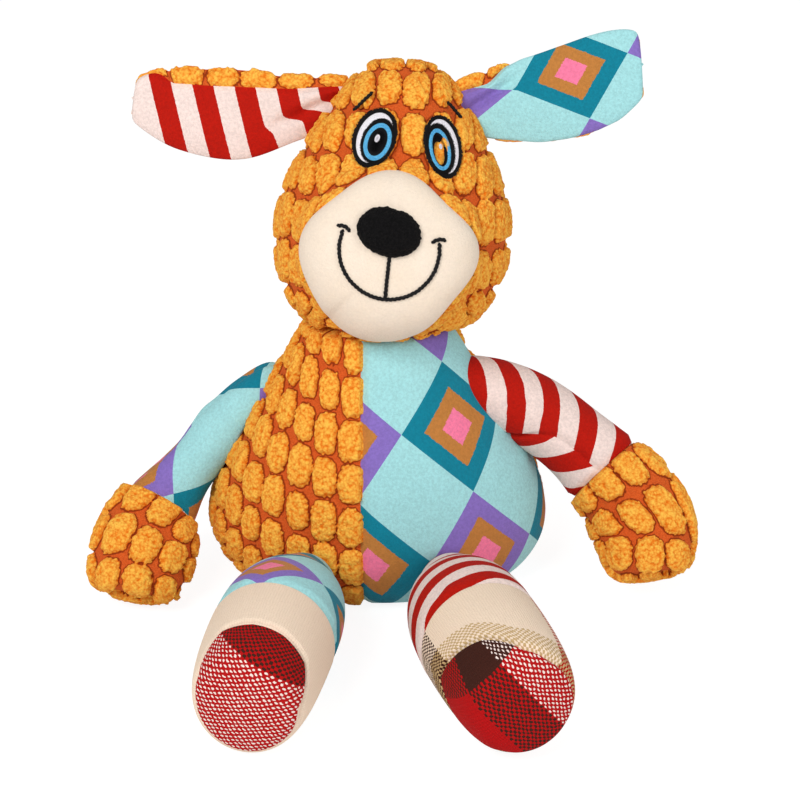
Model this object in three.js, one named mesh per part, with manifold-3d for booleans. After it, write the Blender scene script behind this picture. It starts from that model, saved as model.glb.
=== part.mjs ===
import * as THREE from 'three';
import { mergeVertices } from 'three/addons/utils/BufferGeometryUtils.js';
import Module from 'manifold-3d';

// A sitting patchwork plush dog with a squeaker in its belly.
// Millimetres, +Z up, the dog looks to -Y, origin on the floor in the middle of the seat.
// Right and left are the dog's own: its right side is at -X.

// Cloth, seams and thread
const CLOTH = 2.5;
const SEAM = 0.3;
const THREAD = 0.9;
const SEAT_PRESS = 0.5;

// How far a stuffed form keeps its fullness towards an end: 1 is round, 0 is open
const ROUND_END = 1;
const PINCHED_END = 0.8;
const ROLLING_END = 0.6;
const SOFT_END = 0.5;
const BLUNT_END = 0.35;
const FLAT_END = 0.2;
const OPEN_END = 0;

// Body, from the seat to the neck
const NECK_HEIGHT = 116;
const NECK_LEAN = 6;
const BODY_HALF_WIDTHS = [75, 77, 71.5, 61, 48, 35, 23];
const BODY_HALF_DEPTHS = [53, 54, 51, 45, 36, 27, 21];
const FRONT_SEAM = -7;
const SIDE_SEAM = 8;

// Head, leaning to the dog's left and back over the neck
const HEAD_TALL = 131;
const HEAD_SINK = 24;
const HEAD_ACROSS = 4;
const HEAD_ROLL = 4;
const HEAD_PITCH = 15;
const HEAD_HALF_WIDTHS = [26, 46, 48.8, 40, 28];
const HEAD_HALF_DEPTHS = [30, 38, 42, 35, 26];
const HEAD_SIDE_SEAM = 6;
const CHIN_HALF_WIDTH = 60;
const CHIN_HALF_DEPTH = 54;
const CHIN_AHEAD = 9;
const FACE_TALL = HEAD_TALL - HEAD_SINK;

// Muzzle, as a place across, forward and up from the neck, and half sizes
const MUZZLE_AT = [3, -30, 0.29 * FACE_TALL];
const MUZZLE_HALF = [38, 24, 0.3364 * FACE_TALL];

// Nose pad and the sewn mouth, measured on the muzzle's front
const NOSE_WIDE = 27;
const NOSE_TALL = 21;
const NOSE_THICK = 14;
const NOSE_UP = 9;
const NOSE_TURN = -6;
const MOUTH_STITCH = 1.9;
const MOUTH_RADIUS = 20;
const MOUTH_DROP = 7;
const MOUTH_END_ANGLES = [160, 372];
const MOUTH_TICK = 5;

// Eyes and brows: across and up from the neck on the head's face, size and lean
const EYE_LINE = 1.5;
const EYES = {
  right: { across: -8, wide: 17, pupilAcross: 1.5, tallShare: 0.234, upShare: 0.71, leanAngle: -16 },
  left: { across: 21, wide: 15.5, pupilAcross: -1, tallShare: 0.243, upShare: 0.682, leanAngle: 16 },
};
const IRIS_SHARE = 0.74;
const PUPIL_SHARE = 0.46;
const BROW_LONG = 9;
const BROW_THICK = 2;
const BROW_GAP = 4;

// Ears: length, half widths, share of the face's height at the root, angle above level and sag in the middle
const EAR_THICK = 7;
const EARS = {
  right: { long: 86, halfWidths: [4, 12.5, 19, 18.5, 15], upShare: 0.845, riseAngle: -4, sag: 6.5 },
  left: { long: 76, halfWidths: [8, 15.5, 19, 19.5, 18], upShare: 0.85, riseAngle: 17, sag: 4.5 },
};

// Arms: spine steps out, forward and up from the shoulder on the body's side seam
const SHOULDER_HEIGHT = 90;
const SHOULDER_RISE = 5;
const ARMS = {
  right: {
    steps: [[-4, 0, 0], [21, -4, -24], [48, -20, -54], [55, -39, -66], [58, -54, -81]],
    halfWidths: [13, 12.5, 13.5, 22, 27],
    halfDepths: [9, 11, 12, 15, 17],
    wristShare: 0.64,
  },
  left: {
    steps: [[-3, 0, 0], [26, -2, -17], [52, -16, -38], [68, -32, -56], [71, -47, -75]],
    halfWidths: [15, 16, 16.5, 22.5, 25],
    halfDepths: [9, 11, 12, 15, 17],
    wristShare: 0.56,
  },
};

// Legs: hip place on the body, then how far forward and outward, feet lying on the floor
const HIP_HEIGHT = 21.5;
const HIP_ACROSS = 28;
const LEG_ROOT = 18;
const LEG_HALF_WIDTHS = [19, 24, 25, 25, 25];
const LEG_HALF_HEIGHTS = [18, 22.5, 25, 26.5, 26.5];
const LEG_LONG = 95;
const KNEE_SHARE = 0.36;
const KNEE_OUT = 6;
const FEET_OUT = { right: 15, left: 23 };
const ANKLE_SHARE = 0.56;
const SOLE_SHARE = 0.88;

// Squeaker: a round bellows lying front to back in the belly
const SQUEAKER_HEIGHT = 42;
const SQUEAKER_RADIUS = 22;
const SQUEAKER_PLATE = 3;
const BELLOWS_LONG = 27;
const BELLOWS_RIBS = 3;
const BELLOWS_RIB_DEEP = 3.5;
const BELLOWS_WALL = 1;
const REED_TUBE_RADIUS = 6;
const REED_TUBE_LONG = 11;
const REED_TUBE_WALL = 1.4;
const REED_THICK = 0.5;
const REED_LONG = 7;

// Facets: sides and rings of the stuffed forms
const BIG_SIDES = 20;
const BIG_RINGS = 12;
const LIMB_SIDES = 12;
const LIMB_RINGS = 9;
const EYE_SIDES = 14;

const wasm = await Module();
wasm.setup();

const toy = new THREE.Group();

// Cloths and plastics
const cloth = (color) => new THREE.MeshStandardMaterial({ color, roughness: 0.92, metalness: 0 });
const plastic = (color) => new THREE.MeshStandardMaterial({ color, roughness: 0.6, metalness: 0 });
const CORN = cloth(0xec9a30);
const ARGYLE = cloth(0x93d7db);
const STRIPE = cloth(0xc4452f);
const CREAM = cloth(0xf6ead3);
const PLAID = cloth(0x9c3b2c);
const BLACK = cloth(0x1d1a1b);
const WHITE = cloth(0xf7f6f2);
const BLUE = cloth(0x58b2e2);
const FILLING = cloth(0xf4f2ec);
const SQUEAKER_WHITE = plastic(0xe9e6dc);
const REED_RED = plastic(0xc8483a);

const X_AXIS = new THREE.Vector3(1, 0, 0);
const Y_AXIS = new THREE.Vector3(0, 1, 0);
const Z_AXIS = new THREE.Vector3(0, 0, 1);
const FRONT = new THREE.Vector3(0, -1, 0);
const QUARTER_TURN = 90;
const radians = THREE.MathUtils.degToRad;
const sideOf = (name) => (name === 'right' ? -1 : 1);

// A closed geometry as a solid for cutting and joining
function toSolid(geometry) {
  geometry.deleteAttribute('normal');
  geometry.deleteAttribute('uv');
  const merged = mergeVertices(geometry);
  const vertProperties = Float32Array.from(merged.attributes.position.array);
  const triVerts = Uint32Array.from(merged.index.array);
  return new wasm.Manifold(new wasm.Mesh({ numProp: 3, vertProperties, triVerts }));
}

// A solid as a mesh, and as a named piece of the toy
function toMesh(solid, material) {
  const { vertProperties, triVerts } = solid.getMesh();
  const geometry = new THREE.BufferGeometry();
  geometry.setAttribute('position', new THREE.BufferAttribute(vertProperties, 3));
  geometry.setIndex(new THREE.BufferAttribute(triVerts, 1));
  geometry.computeVertexNormals();
  return new THREE.Mesh(geometry, material);
}

function addPiece(name, solid, material) {
  const mesh = toMesh(solid, material);
  mesh.name = name;
  toy.add(mesh);
}

// Everything on the side of a plane that its normal points to
const REACH = 4 * (NECK_HEIGHT + HEAD_TALL);
function beyond(point, normal, step = 0) {
  const box = new THREE.BoxGeometry(REACH, REACH, REACH);
  box.translate(0, 0, REACH / 2 + step);
  box.applyQuaternion(new THREE.Quaternion().setFromUnitVectors(Z_AXIS, normal.clone().normalize()));
  box.translate(...point.toArray());
  return toSolid(box);
}

// A curve through values at even steps
function stations(values) {
  const curve = new THREE.SplineCurve(values.map((value, i) => new THREE.Vector2(i, value)));
  return (t) => curve.getPoint(t).y;
}

// A stuffed form: oval rings along a spine, drawn in at each end
class StuffedForm {
  constructor({ spine, halfWidths, halfDepths, deepAxis, ends, sides, rings }) {
    this.curve = new THREE.CatmullRomCurve3(spine);
    this.long = this.curve.getLength();
    this.wide = stations(halfWidths);
    this.deep = stations(halfDepths);
    this.deepAxis = deepAxis;
    this.ends = ends;
    this.sides = sides;
    this.rings = rings;
  }

  frame(t) {
    const centre = this.curve.getPointAt(t);
    const along = this.curve.getTangentAt(t);
    const out = this.deepAxis.clone().addScaledVector(along, -this.deepAxis.dot(along)).normalize();
    const across = new THREE.Vector3().crossVectors(out, along);
    return { centre, along, out, across };
  }

  // The share of full size that the drawn-in ends leave
  fullness(t) {
    return Math.pow(2 * Math.sqrt(Math.max(t * (1 - t), 0)), this.ends[t < 0.5 ? 0 : 1]);
  }

  point(t, angle, inset = 0) {
    const clip = inset / this.long;
    const place = Math.min(Math.max(clip + t * (1 - 2 * clip), 0), 1);
    const past = clip + t * (1 - 2 * clip) - place;
    const { centre, along, out, across } = this.frame(place);
    const full = this.fullness(t);
    return centre
      .addScaledVector(along, past * this.long)
      .addScaledVector(across, (this.wide(place) - inset) * full * Math.cos(angle))
      .addScaledVector(out, (this.deep(place) - inset) * full * Math.sin(angle));
  }

  normal(t, angle) {
    const step = 0.001;
    const round = this.point(t, angle + step).sub(this.point(t, angle - step));
    const along = this.point(t + step, angle).sub(this.point(t - step, angle));
    return round.cross(along).normalize();
  }

  solid(inset = 0) {
    const ball = new THREE.SphereGeometry(1, this.sides, this.rings);
    ball.deleteAttribute('normal');
    ball.deleteAttribute('uv');
    const geometry = mergeVertices(ball);
    const position = geometry.attributes.position;
    for (let i = 0; i < position.count; i += 1) {
      const t = (1 - position.getY(i)) / 2;
      const angle = Math.atan2(position.getZ(i), position.getX(i));
      position.setXYZ(i, ...this.point(t, angle, inset).toArray());
    }
    return toSolid(geometry);
  }

  // The raised layer of thread or cloth on top of the form
  layer(thick) {
    return this.solid(-SEAM - thick).subtract(this.solid(-SEAM));
  }
}

// Body form, flattened by the floor and ended at the neck
const bodySpine = [
  new THREE.Vector3(0, 0, -SEAT_PRESS),
  new THREE.Vector3(0, NECK_LEAN / 6, NECK_HEIGHT / 3),
  new THREE.Vector3(0, NECK_LEAN / 2, (2 * NECK_HEIGHT) / 3),
  new THREE.Vector3(0, NECK_LEAN, NECK_HEIGHT + HEAD_SINK / 2),
];
const body = new StuffedForm({
  spine: bodySpine,
  halfWidths: BODY_HALF_WIDTHS,
  halfDepths: BODY_HALF_DEPTHS,
  deepAxis: Y_AXIS,
  ends: [FLAT_END, OPEN_END],
  sides: BIG_SIDES,
  rings: BIG_RINGS,
});
const neck = new THREE.Vector3(0, NECK_LEAN, NECK_HEIGHT);
const origin = new THREE.Vector3();
const DOWN = Z_AXIS.clone().negate();

function bodySolid(inset) {
  return body
    .solid(inset)
    .intersect(beyond(origin, Z_AXIS, inset))
    .intersect(beyond(neck, DOWN, inset));
}

// Share of a form's spine at a height
function shareAtHeight(form, height) {
  let low = 0;
  let high = 1;
  for (let i = 0; i < 40; i += 1) {
    const middle = (low + high) / 2;
    if (form.curve.getPointAt(middle).z < height) low = middle;
    else high = middle;
  }
  return (low + high) / 2;
}

// Body skin: a front in two cloths and a plain back, sewn at the middle and the sides
const bodySkin = bodySolid(0).subtract(bodySolid(CLOTH));
const frontSeam = new THREE.Vector3(FRONT_SEAM, 0, 0);
const sideSeam = new THREE.Vector3(0, SIDE_SEAM, 0);
const RIGHTWARD = X_AXIS.clone().negate();
const bodyFront = bodySkin.intersect(beyond(sideSeam, FRONT, SEAM / 2));
addPiece('body_front_right', bodyFront.intersect(beyond(frontSeam, RIGHTWARD, SEAM / 2)), CORN);
addPiece('body_front_left', bodyFront.intersect(beyond(frontSeam, X_AXIS, SEAM / 2)), ARGYLE);
addPiece('body_back', bodySkin.intersect(beyond(sideSeam, Y_AXIS, SEAM / 2)), CORN);

// Squeaker, lying front to back: base plate behind, bellows, cap in front
const squeaker = new THREE.Vector3(0, 0, SQUEAKER_HEIGHT);
function discAlongY(radius, from, to, sides = EYE_SIDES) {
  const disc = new THREE.CylinderGeometry(radius, radius, to - from, sides);
  disc.translate(0, (from + to) / 2, 0);
  disc.translate(...squeaker.toArray());
  return toSolid(disc);
}
const bellowsFront = -BELLOWS_LONG / 2;
const bellowsBack = BELLOWS_LONG / 2;
const baseFront = bellowsBack + SEAM;
const baseBack = baseFront + SQUEAKER_PLATE;
const capBack = bellowsFront - SEAM;
const capFront = capBack - SQUEAKER_PLATE;
const reedTubeFront = baseBack - REED_TUBE_LONG;
const basePlate = discAlongY(SQUEAKER_RADIUS, baseFront, baseBack);
const reedHole = discAlongY(REED_TUBE_RADIUS + SEAM, baseFront - SEAM, baseBack + SEAM);
addPiece('squeaker_base', basePlate.subtract(reedHole), SQUEAKER_WHITE);
addPiece('squeaker_cap', discAlongY(SQUEAKER_RADIUS, capFront, capBack), SQUEAKER_WHITE);

// Bellows wall with round ribs, turned about the squeaker's axis
const bellowsOuter = [];
const bellowsInner = [];
const ribSteps = BELLOWS_RIBS * 4;
for (let i = 0; i <= ribSteps; i += 1) {
  const along = bellowsFront + (BELLOWS_LONG * i) / ribSteps;
  const swell = (BELLOWS_RIB_DEEP * (1 - Math.cos((i / 4) * 2 * Math.PI))) / 2;
  const radius = SQUEAKER_RADIUS - SEAM - BELLOWS_RIB_DEEP + swell;
  bellowsOuter.push(new THREE.Vector2(radius, along));
  bellowsInner.unshift(new THREE.Vector2(radius - BELLOWS_WALL, along));
}
const bellowsProfile = [...bellowsOuter, ...bellowsInner, bellowsOuter[0].clone()];
const bellows = new THREE.LatheGeometry(bellowsProfile, EYE_SIDES);
bellows.translate(...squeaker.toArray());
addPiece('squeaker_bellows', toSolid(bellows), SQUEAKER_WHITE);

// Reed tube through the base plate, and the reed that sounds in it
const reedBore = REED_TUBE_RADIUS - REED_TUBE_WALL;
const reedTube = discAlongY(REED_TUBE_RADIUS, reedTubeFront, baseBack);
addPiece('reed_tube', reedTube.subtract(discAlongY(reedBore, reedTubeFront - SEAM, baseBack + SEAM)),
  SQUEAKER_WHITE);
const reedHalfWide = Math.sqrt((reedBore - SEAM) ** 2 - REED_THICK ** 2);
const reed = new THREE.BoxGeometry(2 * reedHalfWide, REED_LONG, REED_THICK);
reed.translate(0, baseBack - SEAM - REED_LONG / 2, 0);
reed.translate(...squeaker.toArray());
addPiece('squeaker_reed', toSolid(reed), REED_RED);

// Body stuffing in a front and a back wad, with a pocket for the squeaker between
const pocket = discAlongY(SQUEAKER_RADIUS + SEAM, capFront - SEAM, baseBack + SEAM);
const bodyWad = bodySolid(CLOTH + SEAM).subtract(pocket);
addPiece('body_stuffing_front', bodyWad.intersect(beyond(squeaker, FRONT, SEAM / 2)), FILLING);
addPiece('body_stuffing_back', bodyWad.intersect(beyond(squeaker, Y_AXIS, SEAM / 2)), FILLING);

// Head frame: its own axes leaning over the neck
const headTurn = new THREE.Euler(radians(-HEAD_PITCH), radians(HEAD_ROLL), 0);
const headFrame = new THREE.Matrix4().makeRotationFromEuler(headTurn).setPosition(neck);
const onHead = (x, y, z) => new THREE.Vector3(x, y, z).applyMatrix4(headFrame);
const headAxis = (axis) => axis.clone().transformDirection(headFrame);
const headBack = headAxis(Y_AXIS);
const headFront = headBack.clone().negate();

const head = new StuffedForm({
  spine: [onHead(HEAD_ACROSS, 0, -HEAD_SINK), onHead(HEAD_ACROSS, 0, FACE_TALL)],
  halfWidths: HEAD_HALF_WIDTHS,
  halfDepths: HEAD_HALF_DEPTHS,
  deepAxis: headBack,
  ends: [BLUNT_END, SOFT_END],
  sides: BIG_SIDES,
  rings: BIG_RINGS,
});
const aboveNeck = (step) => beyond(neck, Z_AXIS, SEAM + step);

// The rounding under the cheeks and chin, where the head is drawn in to the neck
const chinMiddle = new THREE.Vector3(neck.x + HEAD_ACROSS, neck.y - CHIN_AHEAD, neck.z);
const chin = new StuffedForm({
  spine: [chinMiddle, chinMiddle.clone().addScaledVector(Z_AXIS, 2 * HEAD_TALL)],
  halfWidths: [CHIN_HALF_WIDTH, 2 * CHIN_HALF_WIDTH],
  halfDepths: [CHIN_HALF_DEPTH, 2 * CHIN_HALF_DEPTH],
  deepAxis: Y_AXIS,
  ends: [BLUNT_END, OPEN_END],
  sides: BIG_SIDES,
  rings: BIG_RINGS,
});
const headSolid = (inset) => head
  .solid(inset)
  .intersect(chin.solid(inset))
  .intersect(aboveNeck(inset));

// Head skin in a face and a back, sewn over the ears, and its stuffing
const headSkin = headSolid(0).subtract(headSolid(CLOTH));
const headSeam = onHead(0, HEAD_SIDE_SEAM, 0);
addPiece('head_front', headSkin.intersect(beyond(headSeam, headFront, SEAM / 2)), CORN);
addPiece('head_back', headSkin.intersect(beyond(headSeam, headBack, SEAM / 2)), CORN);
addPiece('head_stuffing', headSolid(CLOTH + SEAM), FILLING);

// Muzzle: a round cream pad of its own, sewn on the face
const muzzle = new StuffedForm({
  spine: [-1, 1].map((end) => onHead(MUZZLE_AT[0], MUZZLE_AT[1], MUZZLE_AT[2] + end * MUZZLE_HALF[2])),
  halfWidths: [MUZZLE_HALF[0], MUZZLE_HALF[0]],
  halfDepths: [MUZZLE_HALF[1], MUZZLE_HALF[1]],
  deepAxis: headBack,
  ends: [ROUND_END, ROUND_END],
  sides: BIG_SIDES,
  rings: LIMB_RINGS,
});
const faceSurface = head.solid(-SEAM);
const onFace = (inset) => muzzle.solid(inset).subtract(faceSurface).intersect(aboveNeck(inset));
addPiece('muzzle_skin', onFace(0).subtract(muzzle.solid(CLOTH)), CREAM);
addPiece('muzzle_stuffing', onFace(CLOTH + SEAM), FILLING);

// Nose: a small black plush pad on the upper front of the muzzle
const noseTurn = new THREE.Matrix4().makeRotationY(radians(NOSE_TURN));
const noseAhead = MUZZLE_AT[1] - MUZZLE_HALF[1];
function noseBall(grow) {
  const ball = new THREE.SphereGeometry(1, EYE_SIDES, LIMB_RINGS);
  ball.scale(NOSE_WIDE / 2 + grow, NOSE_THICK / 2 + grow, NOSE_TALL / 2 + grow);
  ball.applyMatrix4(noseTurn);
  ball.translate(MUZZLE_AT[0], noseAhead, MUZZLE_AT[2] + NOSE_UP);
  ball.applyMatrix4(headFrame);
  return toSolid(ball);
}
addPiece('nose', noseBall(0).subtract(muzzle.solid(-SEAM)), BLACK);

// A flat outline on the face, pushed through the head from in front
function throughFace(shape, across, up) {
  const long = HEAD_TALL;
  const geometry = new THREE.ExtrudeGeometry(shape, {
    depth: long,
    bevelEnabled: false,
    curveSegments: EYE_SIDES / 2,
  });
  geometry.rotateX(Math.PI / 2);
  geometry.translate(across, 0, up);
  geometry.applyMatrix4(headFrame);
  return toSolid(geometry);
}

function ellipseShape(wide, tall, lean, across = 0) {
  const shape = new THREE.Shape();
  shape.absellipse(across, 0, wide / 2, tall / 2, 0, 2 * Math.PI, false, radians(lean));
  return shape;
}

// A stitched band along an arc, with square ends
function arcBand(radius, from, to) {
  const shape = new THREE.Shape();
  shape.absarc(0, 0, radius + MOUTH_STITCH / 2, radians(from), radians(to), false);
  shape.absarc(0, 0, radius - MOUTH_STITCH / 2, radians(to), radians(from), true);
  shape.closePath();
  return shape;
}

function barShape(wide, tall, lean) {
  const shape = new THREE.Shape();
  const turn = radians(lean);
  const corners = [[-1, -1], [1, -1], [1, 1], [-1, 1]].map(([i, j]) => {
    const corner = new THREE.Vector2((i * wide) / 2, (j * tall) / 2);
    return corner.rotateAround(new THREE.Vector2(), turn);
  });
  shape.setFromPoints(corners);
  return shape;
}

// Mouth: a line down from the nose, a wide smile and a tick at each end of it
const smileMiddle = MUZZLE_AT[2] + NOSE_UP - MOUTH_DROP;
const smile = throughFace(arcBand(MOUTH_RADIUS, ...MOUTH_END_ANGLES), MUZZLE_AT[0], smileMiddle);
const lineShape = barShape(MOUTH_STITCH, MOUTH_RADIUS, 0);
const line = throughFace(lineShape, MUZZLE_AT[0], smileMiddle - MOUTH_RADIUS / 2);
const smileEnd = (end) => {
  const turn = radians(end);
  const tick = barShape(MOUTH_STITCH, MOUTH_TICK, end - QUARTER_TURN);
  const across = MUZZLE_AT[0] + MOUTH_RADIUS * Math.cos(turn);
  return throughFace(tick, across, smileMiddle + MOUTH_RADIUS * Math.sin(turn));
};
const mouth = MOUTH_END_ANGLES.reduce((sewn, end) => sewn.add(smileEnd(end)), smile.add(line));
const muzzleThread = muzzle.layer(THREAD).subtract(faceSurface).subtract(noseBall(SEAM));
addPiece('mouth_stitching', mouth.intersect(muzzleThread), BLACK);

// Eyes and brows: flat stitching on the face above the muzzle
const faceThread = head.layer(THREAD).intersect(beyond(headSeam, headFront)).subtract(muzzle.solid(-SEAM));
for (const [name, eye] of Object.entries(EYES)) {
  const up = eye.upShare * FACE_TALL;
  const full = eye.tallShare * FACE_TALL;
  const oval = (share, inset, across = 0) => {
    const wide = eye.wide * share - 2 * inset;
    const tall = full * share - 2 * inset;
    return throughFace(ellipseShape(wide, tall, eye.leanAngle), eye.across + across, up);
  };
  const iris = (grow) => oval(IRIS_SHARE, -grow, eye.pupilAcross);
  const pupil = (grow) => oval(PUPIL_SHARE, -grow, eye.pupilAcross);
  const white = oval(1, EYE_LINE + SEAM);
  const stitch = (solid) => solid.intersect(faceThread);
  addPiece(`eye_${name}_outline`, stitch(oval(1, 0).subtract(oval(1, EYE_LINE))), BLACK);
  addPiece(`eye_${name}_white`, stitch(white.subtract(iris(SEAM))), WHITE);
  addPiece(`eye_${name}_iris`, stitch(iris(0).subtract(pupil(SEAM)).intersect(white)), BLUE);
  addPiece(`eye_${name}_pupil`, stitch(pupil(0)), BLACK);
  const browUp = up + full / 2 + BROW_GAP;
  const browAcross = eye.across - Math.sin(radians(eye.leanAngle)) * (full / 2);
  const brow = throughFace(barShape(BROW_LONG, BROW_THICK, -2 * eye.leanAngle), browAcross, browUp);
  addPiece(`brow_${name}`, stitch(brow), BLACK);
}

// Ears: two cloths sewn back to back, pinched at a root that folds against the head
const earThickness = Array(5).fill(EAR_THICK / 2);
for (const [name, ear] of Object.entries(EARS)) {
  const side = sideOf(name);
  const rootShare = (ear.upShare * FACE_TALL + HEAD_SINK) / HEAD_TALL;
  const sideAngle = side > 0 ? 0 : Math.PI;
  const seat = head.point(rootShare, sideAngle);
  const seatNormal = head.normal(rootShare, sideAngle);
  const rise = radians(ear.riseAngle);
  const pointing = headAxis(new THREE.Vector3(side * Math.cos(rise), 0, Math.sin(rise)));
  const drooping = headAxis(new THREE.Vector3(side * Math.sin(rise), 0, -Math.cos(rise)));
  const root = seat.addScaledVector(seatNormal, SEAM);
  const middle = root.clone().addScaledVector(pointing, ear.long / 2).addScaledVector(drooping, ear.sag);
  const form = new StuffedForm({
    spine: [root, middle, root.clone().addScaledVector(pointing, ear.long)],
    halfWidths: ear.halfWidths,
    halfDepths: earThickness,
    deepAxis: headBack,
    ends: [PINCHED_END, BLUNT_END],
    sides: BIG_SIDES,
    rings: LIMB_RINGS,
  });
  const leaf = form.solid().subtract(faceSurface);
  addPiece(`ear_${name}_lining`, leaf.intersect(beyond(root, headFront, SEAM / 2)),
    side < 0 ? STRIPE : ARGYLE);
  addPiece(`ear_${name}_back`, leaf.intersect(beyond(root, headBack, SEAM / 2)), CORN);
}

// Place on the body's side seam at a height
function onSideSeam(side, height) {
  const share = shareAtHeight(body, height);
  const rise = (SIDE_SEAM - body.curve.getPointAt(share).y) / (body.deep(share) * body.fullness(share));
  const behind = Math.asin(rise);
  return body.point(share, side > 0 ? behind : Math.PI - behind);
}

// Arms: a sleeve and a mitten hand, each in a front and a back cloth, lying against the body
for (const [name, arm] of Object.entries(ARMS)) {
  const side = sideOf(name);
  const shoulder = onSideSeam(side, SHOULDER_HEIGHT);
  const form = new StuffedForm({
    spine: arm.steps.map(([out, ahead, up]) => new THREE.Vector3(side * out, ahead, up).add(shoulder)),
    halfWidths: arm.halfWidths,
    halfDepths: arm.halfDepths,
    deepAxis: FRONT,
    ends: [SOFT_END, BLUNT_END],
    sides: LIMB_SIDES,
    rings: LIMB_RINGS,
  });
  const solid = (inset) => form
    .solid(inset)
    .subtract(body.solid(-SEAM - inset))
    .intersect(beyond(shoulder, DOWN, inset - SHOULDER_RISE));
  const skin = solid(0).subtract(solid(CLOTH));
  const wrist = form.frame(arm.wristShare);
  const towardShoulder = wrist.along.clone().negate();
  const sleeve = skin.intersect(beyond(wrist.centre, towardShoulder, SEAM / 2));
  const hand = skin.intersect(beyond(wrist.centre, wrist.along, SEAM / 2));
  const addHalves = (piece, whole, share, material) => {
    const middle = form.frame(share);
    const front = beyond(middle.centre, middle.out, SEAM / 2);
    const back = beyond(middle.centre, middle.out.clone().negate(), SEAM / 2);
    addPiece(`${piece}_${name}_front`, whole.intersect(front), material);
    addPiece(`${piece}_${name}_back`, whole.intersect(back), material);
  };
  addHalves('sleeve', sleeve, arm.wristShare / 2, side < 0 ? ARGYLE : STRIPE);
  addHalves('hand', hand, (arm.wristShare + 1) / 2, CORN);
  addPiece(`arm_${name}_stuffing`, solid(CLOTH + SEAM), FILLING);
}

// Where a line from outside first meets the faceted body
const bodyMesh = toMesh(bodySolid(0), CORN);
function onBodyFacet(point, away) {
  const outside = point.clone().addScaledVector(away, CLOTH);
  const ray = new THREE.Raycaster(outside, away.clone().negate());
  return ray.intersectObject(bodyMesh)[0].point;
}

// Legs: a trouser tube, a foot and a sole, rolling at the hip on a round root
for (const [name, footOut] of Object.entries(FEET_OUT)) {
  const side = sideOf(name);
  const share = shareAtHeight(body, HIP_HEIGHT);
  const reach = body.wide(share) * body.fullness(share);
  const angle = -Math.acos((side * HIP_ACROSS) / reach);
  const away = body.normal(share, angle);
  const seat = onBodyFacet(body.point(share, angle), away);
  const hip = seat.clone().addScaledVector(away, LEG_ROOT + SEAM);
  const footMiddle = LEG_HALF_HEIGHTS.at(-1) - SEAT_PRESS;
  const ankleHeight = (hip.z + 2 * footMiddle) / 3;
  const spine = [
    seat.addScaledVector(away, SEAM),
    hip,
    new THREE.Vector3(hip.x + side * KNEE_OUT, hip.y - LEG_LONG * KNEE_SHARE, ankleHeight),
    new THREE.Vector3(hip.x + side * footOut, hip.y - LEG_LONG, footMiddle),
  ];
  const form = new StuffedForm({
    spine,
    halfWidths: LEG_HALF_WIDTHS,
    halfDepths: LEG_HALF_HEIGHTS,
    deepAxis: Z_AXIS,
    ends: [ROLLING_END, FLAT_END],
    sides: LIMB_SIDES,
    rings: LIMB_RINGS + 2,
  });
  const solid = (inset) => form.solid(inset).intersect(beyond(origin, Z_AXIS, inset));
  const skin = solid(0).subtract(solid(CLOTH));
  const ankle = form.frame(ANKLE_SHARE);
  const edge = form.frame(SOLE_SHARE);
  const towardHip = (frame) => frame.along.clone().negate();
  const below = skin.intersect(beyond(ankle.centre, ankle.along, SEAM / 2));
  const tube = skin.intersect(beyond(ankle.centre, towardHip(ankle), SEAM / 2));
  addPiece(`leg_${name}`, tube, side < 0 ? ARGYLE : STRIPE);
  addPiece(`foot_${name}_upper`, below.intersect(beyond(edge.centre, towardHip(edge), SEAM / 2)), CREAM);
  addPiece(`foot_${name}_sole`, below.intersect(beyond(edge.centre, edge.along, SEAM / 2)), PLAID);
  addPiece(`leg_${name}_stuffing`, solid(CLOTH + SEAM), FILLING);
}

export default toy;
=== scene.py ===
import math

import bpy
import numpy as np
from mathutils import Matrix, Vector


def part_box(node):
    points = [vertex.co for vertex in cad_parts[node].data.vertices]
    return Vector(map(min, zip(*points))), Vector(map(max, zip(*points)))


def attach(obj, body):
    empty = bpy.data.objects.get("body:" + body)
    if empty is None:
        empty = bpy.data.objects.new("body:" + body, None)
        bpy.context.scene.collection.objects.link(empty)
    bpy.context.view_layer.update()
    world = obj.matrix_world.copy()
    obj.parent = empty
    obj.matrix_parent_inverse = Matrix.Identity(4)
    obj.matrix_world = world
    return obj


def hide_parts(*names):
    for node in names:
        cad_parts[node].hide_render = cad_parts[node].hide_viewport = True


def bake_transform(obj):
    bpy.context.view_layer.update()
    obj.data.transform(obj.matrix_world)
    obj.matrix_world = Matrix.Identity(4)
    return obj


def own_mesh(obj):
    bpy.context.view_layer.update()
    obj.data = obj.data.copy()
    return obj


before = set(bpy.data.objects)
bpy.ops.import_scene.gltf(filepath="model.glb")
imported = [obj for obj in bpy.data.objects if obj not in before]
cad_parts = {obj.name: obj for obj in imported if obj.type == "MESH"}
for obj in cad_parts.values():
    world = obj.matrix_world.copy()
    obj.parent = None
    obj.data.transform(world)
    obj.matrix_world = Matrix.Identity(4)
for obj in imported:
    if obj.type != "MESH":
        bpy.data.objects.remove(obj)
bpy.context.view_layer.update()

# Studio: a white paper floor under an even white sky and two soft boxes.
# The camera stands in front of the toy and looks down on it by 24 degrees.
LOOK_AT = (0.0095, 0.0, 0.0794)
CAMERA_AWAY = 0.9
CAMERA_DOWN = math.radians(24)
SEEN_ACROSS = 0.344
SENSOR = 36

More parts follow.
